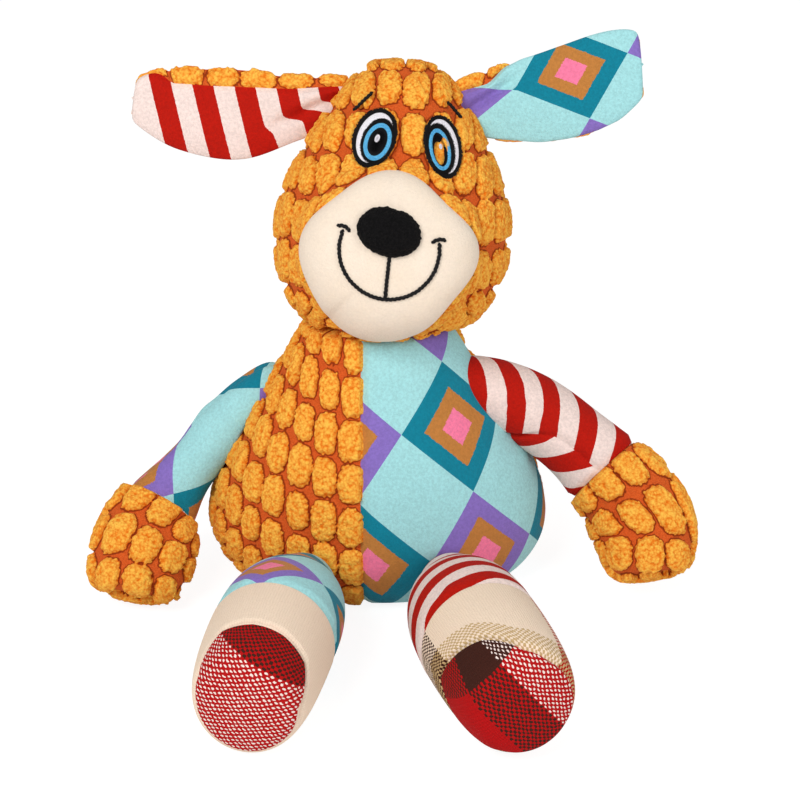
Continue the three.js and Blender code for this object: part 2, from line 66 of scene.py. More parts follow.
camera = bpy.data.objects.new("camera", bpy.data.cameras.new("camera"))
camera.data.sensor_width = SENSOR
camera.data.lens = SENSOR * CAMERA_AWAY / SEEN_ACROSS
camera.location = (LOOK_AT[0],
                   LOOK_AT[1] - CAMERA_AWAY * math.cos(CAMERA_DOWN),
                   LOOK_AT[2] + CAMERA_AWAY * math.sin(CAMERA_DOWN))
camera.rotation_euler = (math.pi / 2 - CAMERA_DOWN, 0, 0)
bpy.context.collection.objects.link(camera)
bpy.context.scene.camera = camera
bpy.context.scene.view_settings.view_transform = "Standard"


class Socket:
    """A shader socket that can stand in a sum: each sum adds its Math node."""

    def __init__(self, finish, output):
        self.finish = finish
        self.output = output

    def math(self, operation, *others, first=None):
        terms = (self, *others) if first is None else (first, self)
        return self.finish.node("ShaderNodeMath", {"operation": operation}, dict(enumerate(terms)))

    def __add__(self, other):
        return self.math("ADD", other)

    def __radd__(self, other):
        return self.math("ADD", other)

    def __sub__(self, other):
        return self.math("SUBTRACT", other)

    def __rsub__(self, other):
        return self.math("SUBTRACT", first=other)

    def __mul__(self, other):
        return self.math("MULTIPLY", other)

    def __rmul__(self, other):
        return self.math("MULTIPLY", other)

    def __truediv__(self, other):
        return self.math("DIVIDE", other)

    def __rtruediv__(self, other):
        return self.math("DIVIDE", first=other)

    def __gt__(self, other):
        return self.math("GREATER_THAN", other)

    def __lt__(self, other):
        return self.math("LESS_THAN", other)

    def __abs__(self):
        return self.math("ABSOLUTE")

    def floor(self):
        return self.math("FLOOR")

    def fract(self):
        return self.math("FRACT")

    def greatest(self, other):
        return self.math("MAXIMUM", other)

    def clipped(self):
        return self.math("MAXIMUM", 0.0).math("MINIMUM", 1.0)


def dye(red, green, blue):
    """A cloth's colour as it is seen, 0 to 255, as the shader wants it."""
    seen = np.array([red, green, blue]) / 255
    linear = np.where(seen <= 0.04045, seen / 12.92, ((seen + 0.055) / 1.055) ** 2.4)
    return (*linear.tolist(), 1.0)


class Nodes:
    """The nodes of a material or of the sky."""

    def __init__(self, owner):
        owner.use_nodes = True
        self.tree = owner.node_tree

    def node(self, kind, settings, sockets, output=0):
        node = self.tree.nodes.new(kind)
        for name, value in settings.items():
            setattr(node, name, value)
        for key, value in sockets.items():
            self.feed(node.inputs[key], value)
        return Socket(self, node.outputs[output])

    def feed(self, socket, value):
        if isinstance(value, Socket):
            self.tree.links.new(value.output, socket)
        else:
            socket.default_value = value


class Finish(Nodes):
    """A material: one Principled shader and the nodes that feed it."""

    def __init__(self, name, **constants):
        self.material = bpy.data.materials.new(name)
        super().__init__(self.material)
        self.shader = self.tree.nodes["Principled BSDF"]
        for socket, value in constants.items():
            self.show(socket.replace("_", " ").title(), value)

    def show(self, socket, value):
        self.feed(self.shader.inputs[socket], value)

    def mix(self, share, first, second):
        settings = {"data_type": "RGBA", "clamp_factor": True}
        return self.node("ShaderNodeMix", settings, {0: share, 6: first, 7: second}, 2)

    def cloth(self):
        """The place on the cloth in millimetres, along its two edges."""
        place = self.node("ShaderNodeUVMap", {"uv_map": "cloth"}, {})
        return [self.node("ShaderNodeSeparateXYZ", {}, {0: place}, i) for i in (0, 1)]

    def grain(self, size, detail=2.0, rough=0.6):
        """Noise whose specks are about that many millimetres wide."""
        place = self.node("ShaderNodeTexCoord", {}, {}, "Object")
        sockets = {"Vector": place, "Scale": 1000 / size, "Detail": detail, "Roughness": rough}
        return self.node("ShaderNodeTexNoise", {}, sockets, 0)

    def specks(self, size, gain, drop, detail=2.0, rough=0.6):
        """The same noise with more contrast, from 0 to 1."""
        return (self.grain(size, detail, rough) * gain - drop).clipped()

    def shaded(self, colour, shade):
        """A colour darkened by another."""
        settings = {"data_type": "RGBA", "blend_type": "MULTIPLY"}
        return self.node("ShaderNodeMix", settings, {0: 1.0, 6: colour, 7: shade}, 2)

    def raised(self, height, strength, deep):
        """Small relief in the surface, that deep in millimetres."""
        sockets = {"Strength": strength, "Distance": deep / 1000, "Height": height}
        self.show("Normal", self.node("ShaderNodeBump", {}, sockets))


FLOOR_HALF = 3.0
FLOOR_DROP = 0.0004
PAPER_GLOW = 1.2
PAPER_GLOW_SHARE = 0.75
floor_mesh = bpy.data.meshes.new("paper_floor")
corners = [(-1, -1), (1, -1), (1, 1), (-1, 1)]
corners = [(x * FLOOR_HALF, y * FLOOR_HALF, -FLOOR_DROP) for x, y in corners]
floor_mesh.from_pydata(corners, [], [(0, 1, 2, 3)])
floor = bpy.data.objects.new("paper_floor", floor_mesh)
bpy.context.collection.objects.link(floor)
paper = Finish("white_paper", base_color=dye(250, 250, 250), roughness=0.9)
paper_glow = paper.node("ShaderNodeEmission", {}, {"Color": (1, 1, 1, 1), "Strength": PAPER_GLOW})
paper_seen = paper.node("ShaderNodeLightPath", {}, {}, "Is Camera Ray")
paper_plain = Socket(paper, paper.shader.outputs[0])
paper_parts = {0: paper_seen * PAPER_GLOW_SHARE, 1: paper_plain, 2: paper_glow}
paper_lit = paper.node("ShaderNodeMixShader", {}, paper_parts)
paper.feed(paper.tree.nodes["Material Output"].inputs["Surface"], paper_lit)
floor_mesh.materials.append(paper.material)

SKY_STRENGTH = 0.40
sky = bpy.data.worlds.new("white_sky")
bpy.context.scene.world = sky
sky_nodes = Nodes(sky)
sky_seen = sky_nodes.node("ShaderNodeLightPath", {}, {}, "Is Camera Ray")
sky_sockets = {"Value": sky_seen, "To Min": SKY_STRENGTH, "To Max": 1.0}
sky_level = sky_nodes.node("ShaderNodeMapRange", {}, sky_sockets)
backdrop = sky_nodes.tree.nodes["Background"]
sky_nodes.feed(backdrop.inputs["Color"], (1, 1, 1, 1))
sky_nodes.feed(backdrop.inputs["Strength"], sky_level)

SOFT_BOXES = {"key": ((-0.5, -0.85, 0.95), 0.55, 9.0), "fill": ((0.75, -0.75, 0.6), 0.7, 3.6)}
for name, (place, size, power) in SOFT_BOXES.items():
    lamp = bpy.data.lights.new(f"soft_box_{name}", "AREA")
    lamp.size = size
    lamp.energy = power
    soft_box = bpy.data.objects.new(f"soft_box_{name}", lamp)
    soft_box.location = place
    toward = np.array(LOOK_AT) - np.array(place)
    soft_box.rotation_euler = (math.atan2(math.hypot(toward[0], toward[1]), -toward[2]), 0,
                               math.atan2(toward[1], toward[0]) - math.pi / 2)
    bpy.context.collection.objects.link(soft_box)

# Body cloths: corn fleece on the front's right half and on the back, printed velour on the front's left half.
# Three panels round one stuffed form, sewn at the front, the sides and the neck and drawn in along each seam.
# Corn fleece is a red woven ground with rows of plump cut-pile kernels, and the velour a short even nap.
MM = 0.001
CORN_STEP = 0.55
BACK_STEP = CORN_STEP * 1.25
SMOOTH_STEP = 1.6


def stations(values):
    """A smooth line through values at even steps along a form."""
    values = np.asarray(values, float)
    last = len(values) - 1

    def at(share):
        place = np.clip(share, 0, 1) * last
        i = np.minimum(place.astype(int), last - 1)
        w = place - i
        p0, p1 = values[np.maximum(i - 1, 0)], values[i]
        p2, p3 = values[i + 1], values[np.minimum(i + 2, last)]
        v0, v1 = (p2 - p0) / 2, (p3 - p1) / 2
        return ((2 * p1 - 2 * p2 + v0 + v1) * w - 3 * p1 + 3 * p2 - 2 * v0 - v1) * w * w + v0 * w + p1

    return at


def spine_line(points, steps=200):
    """A smooth line through a few points, tighter where they stand close."""
    points = np.asarray(points, float)
    if len(points) == 2:
        return points[0] + np.linspace(0, 1, steps)[:, None] * (points[1] - points[0])
    whole = [2 * points[0] - points[1], *points, 2 * points[-1] - points[-2]]
    line = []
    for p0, p1, p2, p3 in zip(whole, whole[1:], whole[2:], whole[3:]):
        g0, g1, g2 = (math.sqrt(np.linalg.norm(b - a)) for a, b in ((p0, p1), (p1, p2), (p2, p3)))
        t1 = ((p1 - p0) / g0 - (p2 - p0) / (g0 + g1) + (p2 - p1) / g1) * g1
        t2 = ((p2 - p1) / g1 - (p3 - p1) / (g1 + g2) + (p3 - p2) / g2) * g1
        w = np.linspace(0, 1, steps)[:, None]
        line.append(p1 + t1 * w + (-3 * p1 + 3 * p2 - 2 * t1 - t2) * w ** 2
                    + (2 * p1 - 2 * p2 + t1 + t2) * w ** 3)
    return np.concatenate([line[0], *(part[1:] for part in line[1:])])


def unit(vectors):
    """The same directions, one long."""
    return vectors / np.maximum(np.linalg.norm(vectors, axis=-1, keepdims=True), 1e-9)


class StuffedForm:
    """Oval rings along a spine, drawn in at each end. Millimetres."""

    def __init__(self, spine, half_widths, half_depths, deep_axis, ends):
        self.line = spine_line(spine)
        self.run = np.concatenate([[0], np.cumsum(np.linalg.norm(np.diff(self.line, axis=0), axis=1))])
        self.long = self.run[-1]
        self.heading = unit(np.gradient(self.line, axis=0))
        self.wide, self.deep = stations(half_widths), stations(half_depths)
        self.deep_axis = np.asarray(deep_axis, float)
        self.ends = ends

    def along(self, rows, share):
        where = np.asarray(share, float) * self.long
        return np.stack([np.interp(where, self.run, rows[:, k]) for k in range(3)], -1)

    def full(self, share):
        drawn = 2 * np.sqrt(np.clip(share * (1 - share), 0, None))
        return np.where(share < 0.5, drawn ** self.ends[0], drawn ** self.ends[1])

    def place(self, share, angle, rise=0.0):
        share, angle = np.broadcast_arrays(np.asarray(share, float), np.asarray(angle, float))
        heading = unit(self.along(self.heading, share))
        out = unit(self.deep_axis - (heading @ self.deep_axis)[..., None] * heading)
        across = np.cross(out, heading)
        wide = (self.wide(share) + rise) * self.full(share) * np.cos(angle)
        deep = (self.deep(share) + rise) * self.full(share) * np.sin(angle)
        return self.along(self.line, share) + across * wide[..., None] + out * deep[..., None]

    def rings(self, first, last, angle, step):
        """Shares of the spine from first to last, evenly spaced over the cloth at that angle."""
        w = np.linspace(0, 1, 3000)
        near = np.sin(math.pi / 4 * w ** (1 / max(self.ends[0], 0.2))) ** 2
        far = 1 - np.sin(math.pi / 4 * w[::-1] ** (1 / max(self.ends[1], 0.2))) ** 2
        shares = np.concatenate([near, far[1:]])
        shares = np.unique(np.concatenate([[first], shares[(shares > first) & (shares < last)], [last]]))
        run = np.linalg.norm(np.diff(self.place(shares, angle), axis=0), axis=1)
        run = np.concatenate([[0], np.cumsum(run)])
        return np.interp(np.linspace(0, run[-1], max(int(run[-1] / step), 4) + 1), run, shares)


def sweep(form, shares, first, last, step, rise=0.0):
    """Rows of places on a form between two angles, which may change from ring to ring."""
    first, last = (np.broadcast_to(edge, shares.shape) for edge in (first, last))
    angles = np.stack([first * (1 - w) + last * w for w in np.linspace(0, 1, 40)], 1)
    middle = form.place(shares[:, None], angles)
    columns = int(np.linalg.norm(np.diff(middle, axis=1), axis=2).sum(1).max() / step) + 2
    w = np.linspace(0, 1, columns)
    return form.place(shares[:, None], first[:, None] * (1 - w) + last[:, None] * w, rise)


def facing(places):
    """The outward direction at each place."""
    return unit(np.cross(np.gradient(places, axis=1), np.gradient(places, axis=0)))


def runs(places, axis):
    """Distance over the cloth from the first row or column."""
    steps = np.linalg.norm(np.diff(places, axis=axis), axis=2)
    return np.insert(np.cumsum(steps, axis=axis), 0, 0, axis=axis)


def edge_runs(places):
    """Distance over the cloth from its first column and to its last."""
    past = runs(places, 1)
    return past, past[:, -1:] - past


def lengths(places, column):
    """Distance along the cloth, measured on one of its columns."""
    return np.broadcast_to(runs(places, 0)[:, column][:, None], places.shape[:2])


def lifted(places, rise):
    """Cloth that stands off its form by that many millimetres."""
    return places + facing(places) * rise[..., None]


def chance(i, j, seed):
    """An even chance from 0 to 1 for each pair of whole numbers, the same on every run."""
    n = (np.asarray(i).astype(np.int64) * 374761393 + np.asarray(j).astype(np.int64) * 668265263
         + seed * 974634217) & 0xFFFFFFFF
    n = ((n ^ (n >> 13)) * 1274126177) & 0xFFFFFFFF
    return ((n ^ (n >> 16)) & 0xFFFF) / 0xFFFF


def speckle(x, y, seed):
    """Smooth chance from -1 to 1 over a plane, one speck a unit."""
    i, j = np.floor(x), np.floor(y)
    a, b = x - i, y - j
    a, b = a * a * (3 - 2 * a), b * b * (3 - 2 * b)
    low = chance(i, j, seed) * (1 - a) + chance(i + 1, j, seed) * a
    high = chance(i, j + 1, seed) * (1 - a) + chance(i + 1, j + 1, seed) * a
    return 2 * (low * (1 - b) + high * b) - 1


def ease(value, low, high):
    """0 up to low, 1 from high on, and a soft step between them."""
    w = np.clip((value - low) / (high - low), 0, 1)
    return w * w * (3 - 2 * w)


KERNEL_HIGH = 3.0
KERNEL_FULL = (0.475, 0.465)
KERNEL_ROUND = 2.7
CORN_GROUND = -1.5
CORN_HEM = 1.3
TUFT = 1.15
LOCK = 2.4
CURL = 1.25


def corn(across, along, seed, pitch=(11.6, 18.6), lean=0.2, high=KERNEL_HIGH):
    """Height of the pile over the ground in millimetres, and its cover.

    The cover is 0 on the ground, 0.7 between the tufts and 1 at their tips."""
    across = across + 0.6 * speckle(across / 14, along / 14, seed)
    along = along + 0.9 * speckle(across / 16, along / 16, seed + 1)
    column = np.floor(across / pitch[0])
    along = along + pitch[1] * (lean * column + 0.12 * chance(column, 0 * column, seed + 2))
    row = np.floor(along / pitch[1])
    plump = 1 + 0.12 * (chance(column, row, seed + 3) - 0.5)
    half_x, half_y = (full * size * plump for full, size in zip(KERNEL_FULL, pitch))
    x = np.abs(across - (column + 0.5) * pitch[0] + 0.5 * (chance(column, row, seed + 4) - 0.5)) / half_x
    y = np.abs(along - (row + 0.5) * pitch[1] + 1.2 * (chance(column, row, seed + 5) - 0.5)) / half_y
    out = (x ** KERNEL_ROUND + y ** KERNEL_ROUND) ** (1 / KERNEL_ROUND)
    tuft = speckle(across / TUFT, along / TUFT, seed + 6)
    lock = speckle(across / LOCK, along / LOCK, seed + 7)
    inside = (1 - out) * 1.15 * half_x + 0.46 * tuft + 0.2 * lock
    cover = ease(inside, -0.5, 0.5)
    crown = 0.6 + 0.4 * np.sqrt(np.clip(1 - 0.9 * out ** 2, 0, 1))
    pile = high * crown * ease(inside, -0.35, 1.4) + (0.36 * tuft + 0.14 * lock) * cover
    tip = np.clip(0.5 + 0.7 * tuft + 0.1 * lock, 0, 1)
    return pile, cover * (0.7 + 0.3 * tip)


def hemmed(rise, *aways, deep=-1.5, reach=2.5):
    """Cloth that dips to the seam near each of its edges."""
    for away in aways:
        rise = deep + (rise - deep) * ease(away, 0, reach)
    return rise


def sew(name, places, cloth, finish, body, nodes, slot, nap=None, gaps=()):
    """One cloth piece from rows of places in millimetres, with the cloth's own coordinates as its map."""
    rows, columns = places.shape[:2]
    index = np.arange(rows * columns).reshape(rows, columns)
    quads = np.stack([index[:-1, :-1], index[:-1, 1:], index[1:, 1:], index[1:, :-1]], -1)
    quads = np.delete(quads, list(gaps), axis=0).reshape(-1, 4)
    mesh = bpy.data.meshes.new(name)
    mesh.vertices.add(rows * columns)
    mesh.vertices.foreach_set("co", (places * MM).astype(np.float32).ravel())
    mesh.loops.add(quads.size)
    mesh.loops.foreach_set("vertex_index", quads.ravel().astype(np.int32))
    mesh.polygons.add(len(quads))
    mesh.polygons.foreach_set("loop_start", np.arange(0, quads.size, 4, dtype=np.int32))
    mesh.polygons.foreach_set("use_smooth", np.ones(len(quads), bool))
    spread = np.stack(np.meshgrid(np.linspace(0.01, 0.99, columns), np.linspace(0.01, 0.99, rows)), -1)
    for layer, at in (("OFBake", spread), ("cloth", cloth)):
        uv = mesh.uv_layers.new(name=layer)
        uv.data.foreach_set("uv", at.reshape(-1, 2)[quads.ravel()].astype(np.float32).ravel())
    if nap is not None:
        mesh.attributes.new("nap", "FLOAT", "POINT").data.foreach_set("value", nap.astype(np.float32).ravel())
    mesh.update(calc_edges=True)
    mesh.materials.append(finish.material)
    piece = bpy.data.objects.new(name, mesh)
    bpy.context.collection.objects.link(piece)
    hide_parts(*nodes)
    if body:
        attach(piece, body)
    return piece


corn_fleece = Finish("corn_fleece", roughness=0.95, sheen_weight=0.12, sheen_roughness=0.5,
                     sheen_tint=dye(255, 190, 90))
corn_nap = corn_fleece.node("ShaderNodeAttribute", {"attribute_name": "nap"}, {}, "Fac")
place = corn_fleece.node("ShaderNodeTexCoord", {}, {}, "Object")
curl_sockets = {"Vector": place, "Scale": 1000 / CURL}
curl = corn_fleece.node("ShaderNodeTexVoronoi", {"feature": "F1"}, curl_sockets, "Distance")
# Painted highlight and shade on the pile: the middles of the curls and the tips of the tufts are painted
# lighter and the gaps between tufts darker, mixed with random grain.
lit = (1.12 - curl * 1.1 + (corn_nap - 0.85) * 1.6 + (corn_fleece.grain(0.6, 2.0) - 0.5) * 1.2).clipped()
pile_colour = corn_fleece.mix(lit, dye(230, 112, 6), dye(255, 195, 78))
threads = corn_fleece.specks(0.5, 2.4, 0.7, 1.0)
ground_colour = corn_fleece.mix(threads, dye(198, 78, 24), dye(222, 100, 40))
# Painted shadow: a dark reddish brown line on the ground all round each kernel's foot, where the kernel
# shades the ground.
ground_colour = corn_fleece.mix((corn_nap * 5.0 - 0.2).clipped(), ground_colour, dye(142, 50, 8))
corn_fleece.show("Base Color", corn_fleece.mix((corn_nap * 5.0 - 2.4).clipped(), ground_colour, pile_colour))
corn_fleece.raised(corn_fleece.grain(0.6, 2.0) - curl, 0.7, 0.5)
corn_fleece.show("Specular IOR Level", 0.2)

BODY_HALF_WIDTHS = [75, 77, 71.5, 61, 48, 35, 23]
BODY_HALF_DEPTHS = [53, 54, 51, 45, 36, 27, 21]
FRONT_SEAM = -7
SIDE_SEAM = 8
NECK = np.array([0.0, 6.0, 116.0])
NECK_LIP = 0.1
NECK_GATHER = 0.4
BODY_SPINE = [(0, 0, -0.5), (0, 1, 38.67), (0, 3, 77.33), (0, 6, 128)]
BODY_ENDS = (0.2, 0.0)
body = StuffedForm(BODY_SPINE, BODY_HALF_WIDTHS, BODY_HALF_DEPTHS, (0, 1, 0), BODY_ENDS)
body_top = np.interp(NECK[2] + NECK_LIP, body.line[:, 2], body.run / body.long)


def body_edges(shares):
    """Angles of the right side seam, the front seam and the left side seam on each ring."""
    full = body.full(shares)
    behind = np.arcsin(np.clip((SIDE_SEAM - body.along(body.line, shares)[:, 1])
                               / np.maximum(body.deep(shares) * full, 1e-6), -1, 1))
    front = math.pi + np.arccos(np.clip(-FRONT_SEAM / np.maximum(body.wide(shares) * full, 1e-6), -1, 1))
    return math.pi - behind, front, 2 * math.pi + behind


def settle(places, floor_level=0.0):
    """Cloth pressed flat where the toy sits on the floor."""
    places[..., 2] = np.maximum(places[..., 2], floor_level)
    return places


def draw_in(places):
    """Cloth gathered under the head at the top of the neck."""
    gathered = 1 - NECK_GATHER * ease(places[..., 2:], NECK[2] - 1.8, NECK[2] + 0.4)
    places[..., :2] = NECK[:2] + (places[..., :2] - NECK[:2]) * gathered
    places[..., 2] = np.minimum(places[..., 2], NECK[2] + NECK_LIP)
    return places


def narrowing(places):
    """How much closer the kernels stand toward the neck."""
    return 1 + 0.22 * ease(places[..., 2], 50, 116)


corn_rings = body.rings(0, body_top, -math.pi / 2, CORN_STEP)
right_side, front_edge, left_side = body_edges(corn_rings)
base = sweep(body, corn_rings, right_side, front_edge, CORN_STEP)
from_side, from_front = edge_runs(base)
up = lengths(base, base.shape[1] * 2 // 3)
height, nap = corn(from_front * narrowing(base) + 1.5, up + 6.0, 11, lean=-0.2)
rise = hemmed(CORN_GROUND + height, from_front, from_side, reach=CORN_HEM)
overhang = unit(np.gradient(base, axis=1)) * (1.6 * nap * np.exp(-from_front / 2.4))[..., None]
belly_right = draw_in(settle(lifted(base, rise) + overhang))
piece = sew("belly_right", belly_right, np.stack([from_front, up], -1), corn_fleece, "torso",
            ["body_front_right"], "corn_plush", nap)
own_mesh(piece)

base = sweep(body, corn_rings, left_side - 2 * math.pi, right_side, BACK_STEP)
from_side, to_side = edge_runs(base)
up = lengths(base, base.shape[1] // 2)
height, nap = corn((from_side - to_side) / 2 * narrowing(base), up + 3.0, 23)
rise = hemmed(CORN_GROUND + height, from_side, to_side, reach=CORN_HEM)
back = draw_in(settle(lifted(base, rise)))
sew("back", back, np.stack([from_side, up], -1), corn_fleece, "torso", ["body_back"], "corn_plush", nap)

ARGYLE_TURQUOISE = dye(170, 228, 231)
ARGYLE_TEAL = dye(8, 132, 156)
ARGYLE_PURPLE = dye(142, 116, 200)
ARGYLE_OCHRE = dye(198, 130, 62)
ARGYLE_PINK = dye(255, 130, 168)
SPOT_EDGE = 0.29
BORDER_EDGE = 0.61


def velour_nap(finish, colour, shade=0.80):
    """A short even nap: fine specks of light and shade in the print, and a soft relief."""
    specks = finish.specks(1.2, 3.6, 1.3, rough=0.7)
    patches = finish.specks(9.0, 1.6, 0.3)
    darker = finish.shaded(colour, (shade, shade, shade, 1))
    finish.show("Base Color", finish.mix((specks * 0.75 + patches * 0.25).clipped(), darker, colour))
    finish.raised(finish.grain(0.8, 2.0, 0.7), 0.8, 0.5)
    finish.show("Specular IOR Level", 0.2)


def argyle(name, origin, first_edge, second_edge):
    """Printed diamonds on a turquoise ground, set by one corner and two edges of a diamond on the cloth."""
    finish = Finish(name, roughness=0.9, sheen_weight=0.1, sheen_roughness=0.45)
    x, y = finish.cloth()
    (a, b), (c, d) = np.linalg.inv(np.array([first_edge, second_edge]).T)
    x, y = x - origin[0], y - origin[1]
    i, j = x * a + y * b, x * c + y * d
    blur = (finish.grain(0.9, 2.0) - 0.5) * 0.08
    spot = (abs((i.fract() - 0.5) * 2)).greatest(abs((j.fract() - 0.5) * 2)) + blur
    plain = ((i.floor() + j.floor()) * 0.5).fract() > 0.25
    border = finish.mix((i.floor() * 0.5).fract() > 0.25, ARGYLE_TEAL, ARGYLE_PURPLE)
    colour = finish.mix(spot > SPOT_EDGE, ARGYLE_PINK, ARGYLE_OCHRE)
    colour = finish.mix(spot > BORDER_EDGE, colour, border)
    velour_nap(finish, finish.mix(plain, colour, ARGYLE_TURQUOISE))
    return finish


smooth_rings = body.rings(0, body_top, -math.pi / 2, SMOOTH_STEP)
right_side, front_edge, left_side = body_edges(smooth_rings)
base = sweep(body, smooth_rings, front_edge, left_side, SMOOTH_STEP)
from_front, from_side = edge_runs(base)
up = lengths(base, base.shape[1] // 3)
pucker = 0.5 * speckle(up / 7, from_front / 40, 31) * np.exp(-np.minimum(from_front, from_side) / 9)
rise = hemmed(0.3 + pucker, from_front, from_side, reach=4.5)
belly_left = draw_in(settle(lifted(base, rise)))
belly_print = argyle("belly_argyle", (17.1, 131.8), (18.6, 28.5), (31.5, -27.6))
piece = sew("belly_left", belly_left, np.stack([from_front, up], -1), belly_print, "torso",
            ["body_front_left"], "argyle_velour")
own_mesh(piece)

# Head cloths: a corn fleece face and back of the head, sewn over the ears and drawn in to the neck.
# The head leans back and a little to the dog's left. The pile is pressed down under the eyes,
# and the face's cloth is drawn over the pad of filling behind the muzzle.
HEAD_TALL = 131
HEAD_SINK = 24
FACE_TALL = HEAD_TALL - HEAD_SINK
HEAD_ACROSS = 4
HEAD_PITCH = math.radians(-15)
HEAD_ROLL = math.radians(4)
HEAD_SIDE_SEAM = 6
HEAD_HALF_WIDTHS = [26, 46, 48.8, 40, 28]
HEAD_HALF_DEPTHS = [30, 38, 42, 35, 26]
HEAD_ENDS = (0.35, 0.5)
HEAD_KERNELS = ((12.2, 19.6), 0.03)


def turning(angle, first, second):
    """A turn that carries the first axis toward the second."""
    turn = np.eye(3)
    turn[first, first] = math.cos(angle)
    turn[second, second] = math.cos(angle)
    turn[second, first] = math.sin(angle)
    turn[first, second] = -math.sin(angle)
    return turn


HEAD_TURN = turning(HEAD_PITCH, 1, 2) @ turning(HEAD_ROLL, 2, 0)


def on_head(local):
    """Places across, behind and up from the neck, on the leaning head's own axes."""
    return NECK + np.asarray(local, float) @ HEAD_TURN.T


head = StuffedForm(on_head([(HEAD_ACROSS, 0, -HEAD_SINK), (HEAD_ACROSS, 0, FACE_TALL)]),
                   HEAD_HALF_WIDTHS, HEAD_HALF_DEPTHS, HEAD_TURN[:, 1], HEAD_ENDS)


def face_depth(x, z):
    """How far behind the neck's line the face lies, at a place across and up: negative is in front."""
    share = (np.asarray(z, float) + HEAD_SINK) / HEAD_TALL
    full = head.full(share)
    out = 1 - ((x - HEAD_ACROSS) / np.maximum(head.wide(share) * full, 1e-6)) ** 2
    return -head.deep(share) * full * np.sqrt(np.clip(out, 0, None))


CHIN_MIDDLE = np.array([4.0, -3.0])
CHIN_HALF = np.array([60.0, 54.0])
CHIN_SHARP = 40
NECK_SEAM = 0.3


def under_chin(places):
    """The rounding under the cheeks, where the head is drawn in to the neck."""
    up = np.maximum(places[..., 2] - NECK[2], NECK_SEAM)
    share = up / (2 * HEAD_TALL)
    reach = (1 + share) * (2 * np.sqrt(share * (1 - share))) ** HEAD_ENDS[0]
    off = places[..., :2] - CHIN_MIDDLE
    over = np.linalg.norm(off / (CHIN_HALF * reach[..., None]), axis=-1)
    off = off * ((1 + over ** CHIN_SHARP) ** (-1 / CHIN_SHARP))[..., None]
    return np.concatenate([CHIN_MIDDLE + off, (NECK[2] + up)[..., None]], -1)


MUZZLE_MIDDLE = np.array([3.0, 31.0])
MUZZLE_RADIUS = 34.4
MUZZLE_WAVES = ((1, -0.83, -2.86), (2, 0.17, 0.74), (3, 0.56, 0.25),
                (4, 1.68, 0.04), (5, 0.11, 0.48), (6, 0.36, 0.05))
EYES = {
    "right": {"side": -1, "middle": (-6.1, 76.0), "size": (17.2, 24.0), "lean": -19},
    "left": {"side": 1, "middle": (21.9, 74.3), "size": (14.8, 24.8), "lean": 16},
}


def muzzle_reach(turn):
    """The muzzle pad's radius: a soft kite with four corners, longer below."""
    return MUZZLE_RADIUS + sum(c * np.cos(n * turn) + s * np.sin(n * turn) for n, c, s in MUZZLE_WAVES)


def muzzle_share(x, z):
    """0 at the middle of the muzzle, 1 at its edge."""
    x, z = x - MUZZLE_MIDDLE[0], z - MUZZLE_MIDDLE[1]
    return np.hypot(x, z) / muzzle_reach(np.arctan2(z, x))


PAD_MIDDLE = np.array([3.0, -30.0, 31.03])
PAD_HALF = np.array([37.5, 23.5, 35.5])
DRAW_STEPS = 40


def over_pad(places):
    """Face cloth drawn over the round pad of filling behind the muzzle, and evened out in small steps."""
    for _ in range(DRAW_STEPS):
        off = (places - NECK) @ HEAD_TURN - PAD_MIDDLE
        out = np.linalg.norm(off / PAD_HALF, axis=-1, keepdims=True)
        places = on_head(PAD_MIDDLE + off / np.clip(out, 0.05, 1))
        near = 1 - ease(out[1:-1, 1:-1], 1.1, 1.4)
        even = (places[:-2, 1:-1] + places[2:, 1:-1] + places[1:-1, :-2] + places[1:-1, 2:]) / 4
        places[1:-1, 1:-1] += 0.8 * near * (even - places[1:-1, 1:-1])
    return places


def eye_share(x, z, eye):
    """0 at the middle of an eye, 1 at its rim."""
    lean = math.radians(eye["lean"])
    x, z = x - eye["middle"][0], z - eye["middle"][1]
    along, across = z * math.cos(lean) - x * math.sin(lean), x * math.cos(lean) + z * math.sin(lean)
    return np.hypot(across / (eye["size"][0] / 2), along / (eye["size"][1] / 2))


for name, nodes, half_turn in (("face", ["head_front"], 1), ("back_of_head", ["head_back"], 0)):
    rings = head.rings(0.02, 1, -math.pi / 2, CORN_STEP)
    behind = np.arcsin(np.clip(HEAD_SIDE_SEAM / np.maximum(head.deep(rings) * head.full(rings), 1e-6), -1, 1))
    edges = (math.pi - behind, 2 * math.pi + behind) if half_turn else (behind, math.pi - behind)
    base = under_chin(sweep(head, rings, *edges, CORN_STEP if half_turn else BACK_STEP))
    from_right, from_left = edge_runs(base)
    across = (from_right - from_left) / 2
    down = runs(base, 0)[:, base.shape[1] // 2]
    down = np.broadcast_to((down[-1] - down)[:, None], across.shape)
    height, nap = corn(across, down + (4.0 if half_turn else 0.0), 41 + half_turn, *HEAD_KERNELS)
    if half_turn:
        base = over_pad(base)
        local = (base - NECK) @ HEAD_TURN
        face_local = local.reshape(-1, 3)
        beside = muzzle_share(local[..., 0], local[..., 2]) > 0.985
        height = np.where(beside, height, -0.6)
        for eye in EYES.values():
            share = eye_share(local[..., 0], local[..., 2], eye)
            pressed = 1 - ease(share, 0.98, 1.14)
            puffed = 1.6 * (1 - ease(share, 0.2, 0.42)) * (eye["side"] > 0)
            height = height * (1 - pressed) + pressed * (1.3 + puffed + 0.25 * height * nap / KERNEL_HIGH)
            nap = np.maximum(nap, 0.85 * pressed)
    rise = hemmed(CORN_GROUND + height, from_right, from_left, reach=CORN_HEM)
    skin = lifted(base, rise)
    skin[..., 2] = np.maximum(skin[..., 2], NECK[2] + NECK_SEAM)
    sew(name, skin, np.stack([across, down], -1), corn_fleece, "head", nodes, "corn_plush", nap)

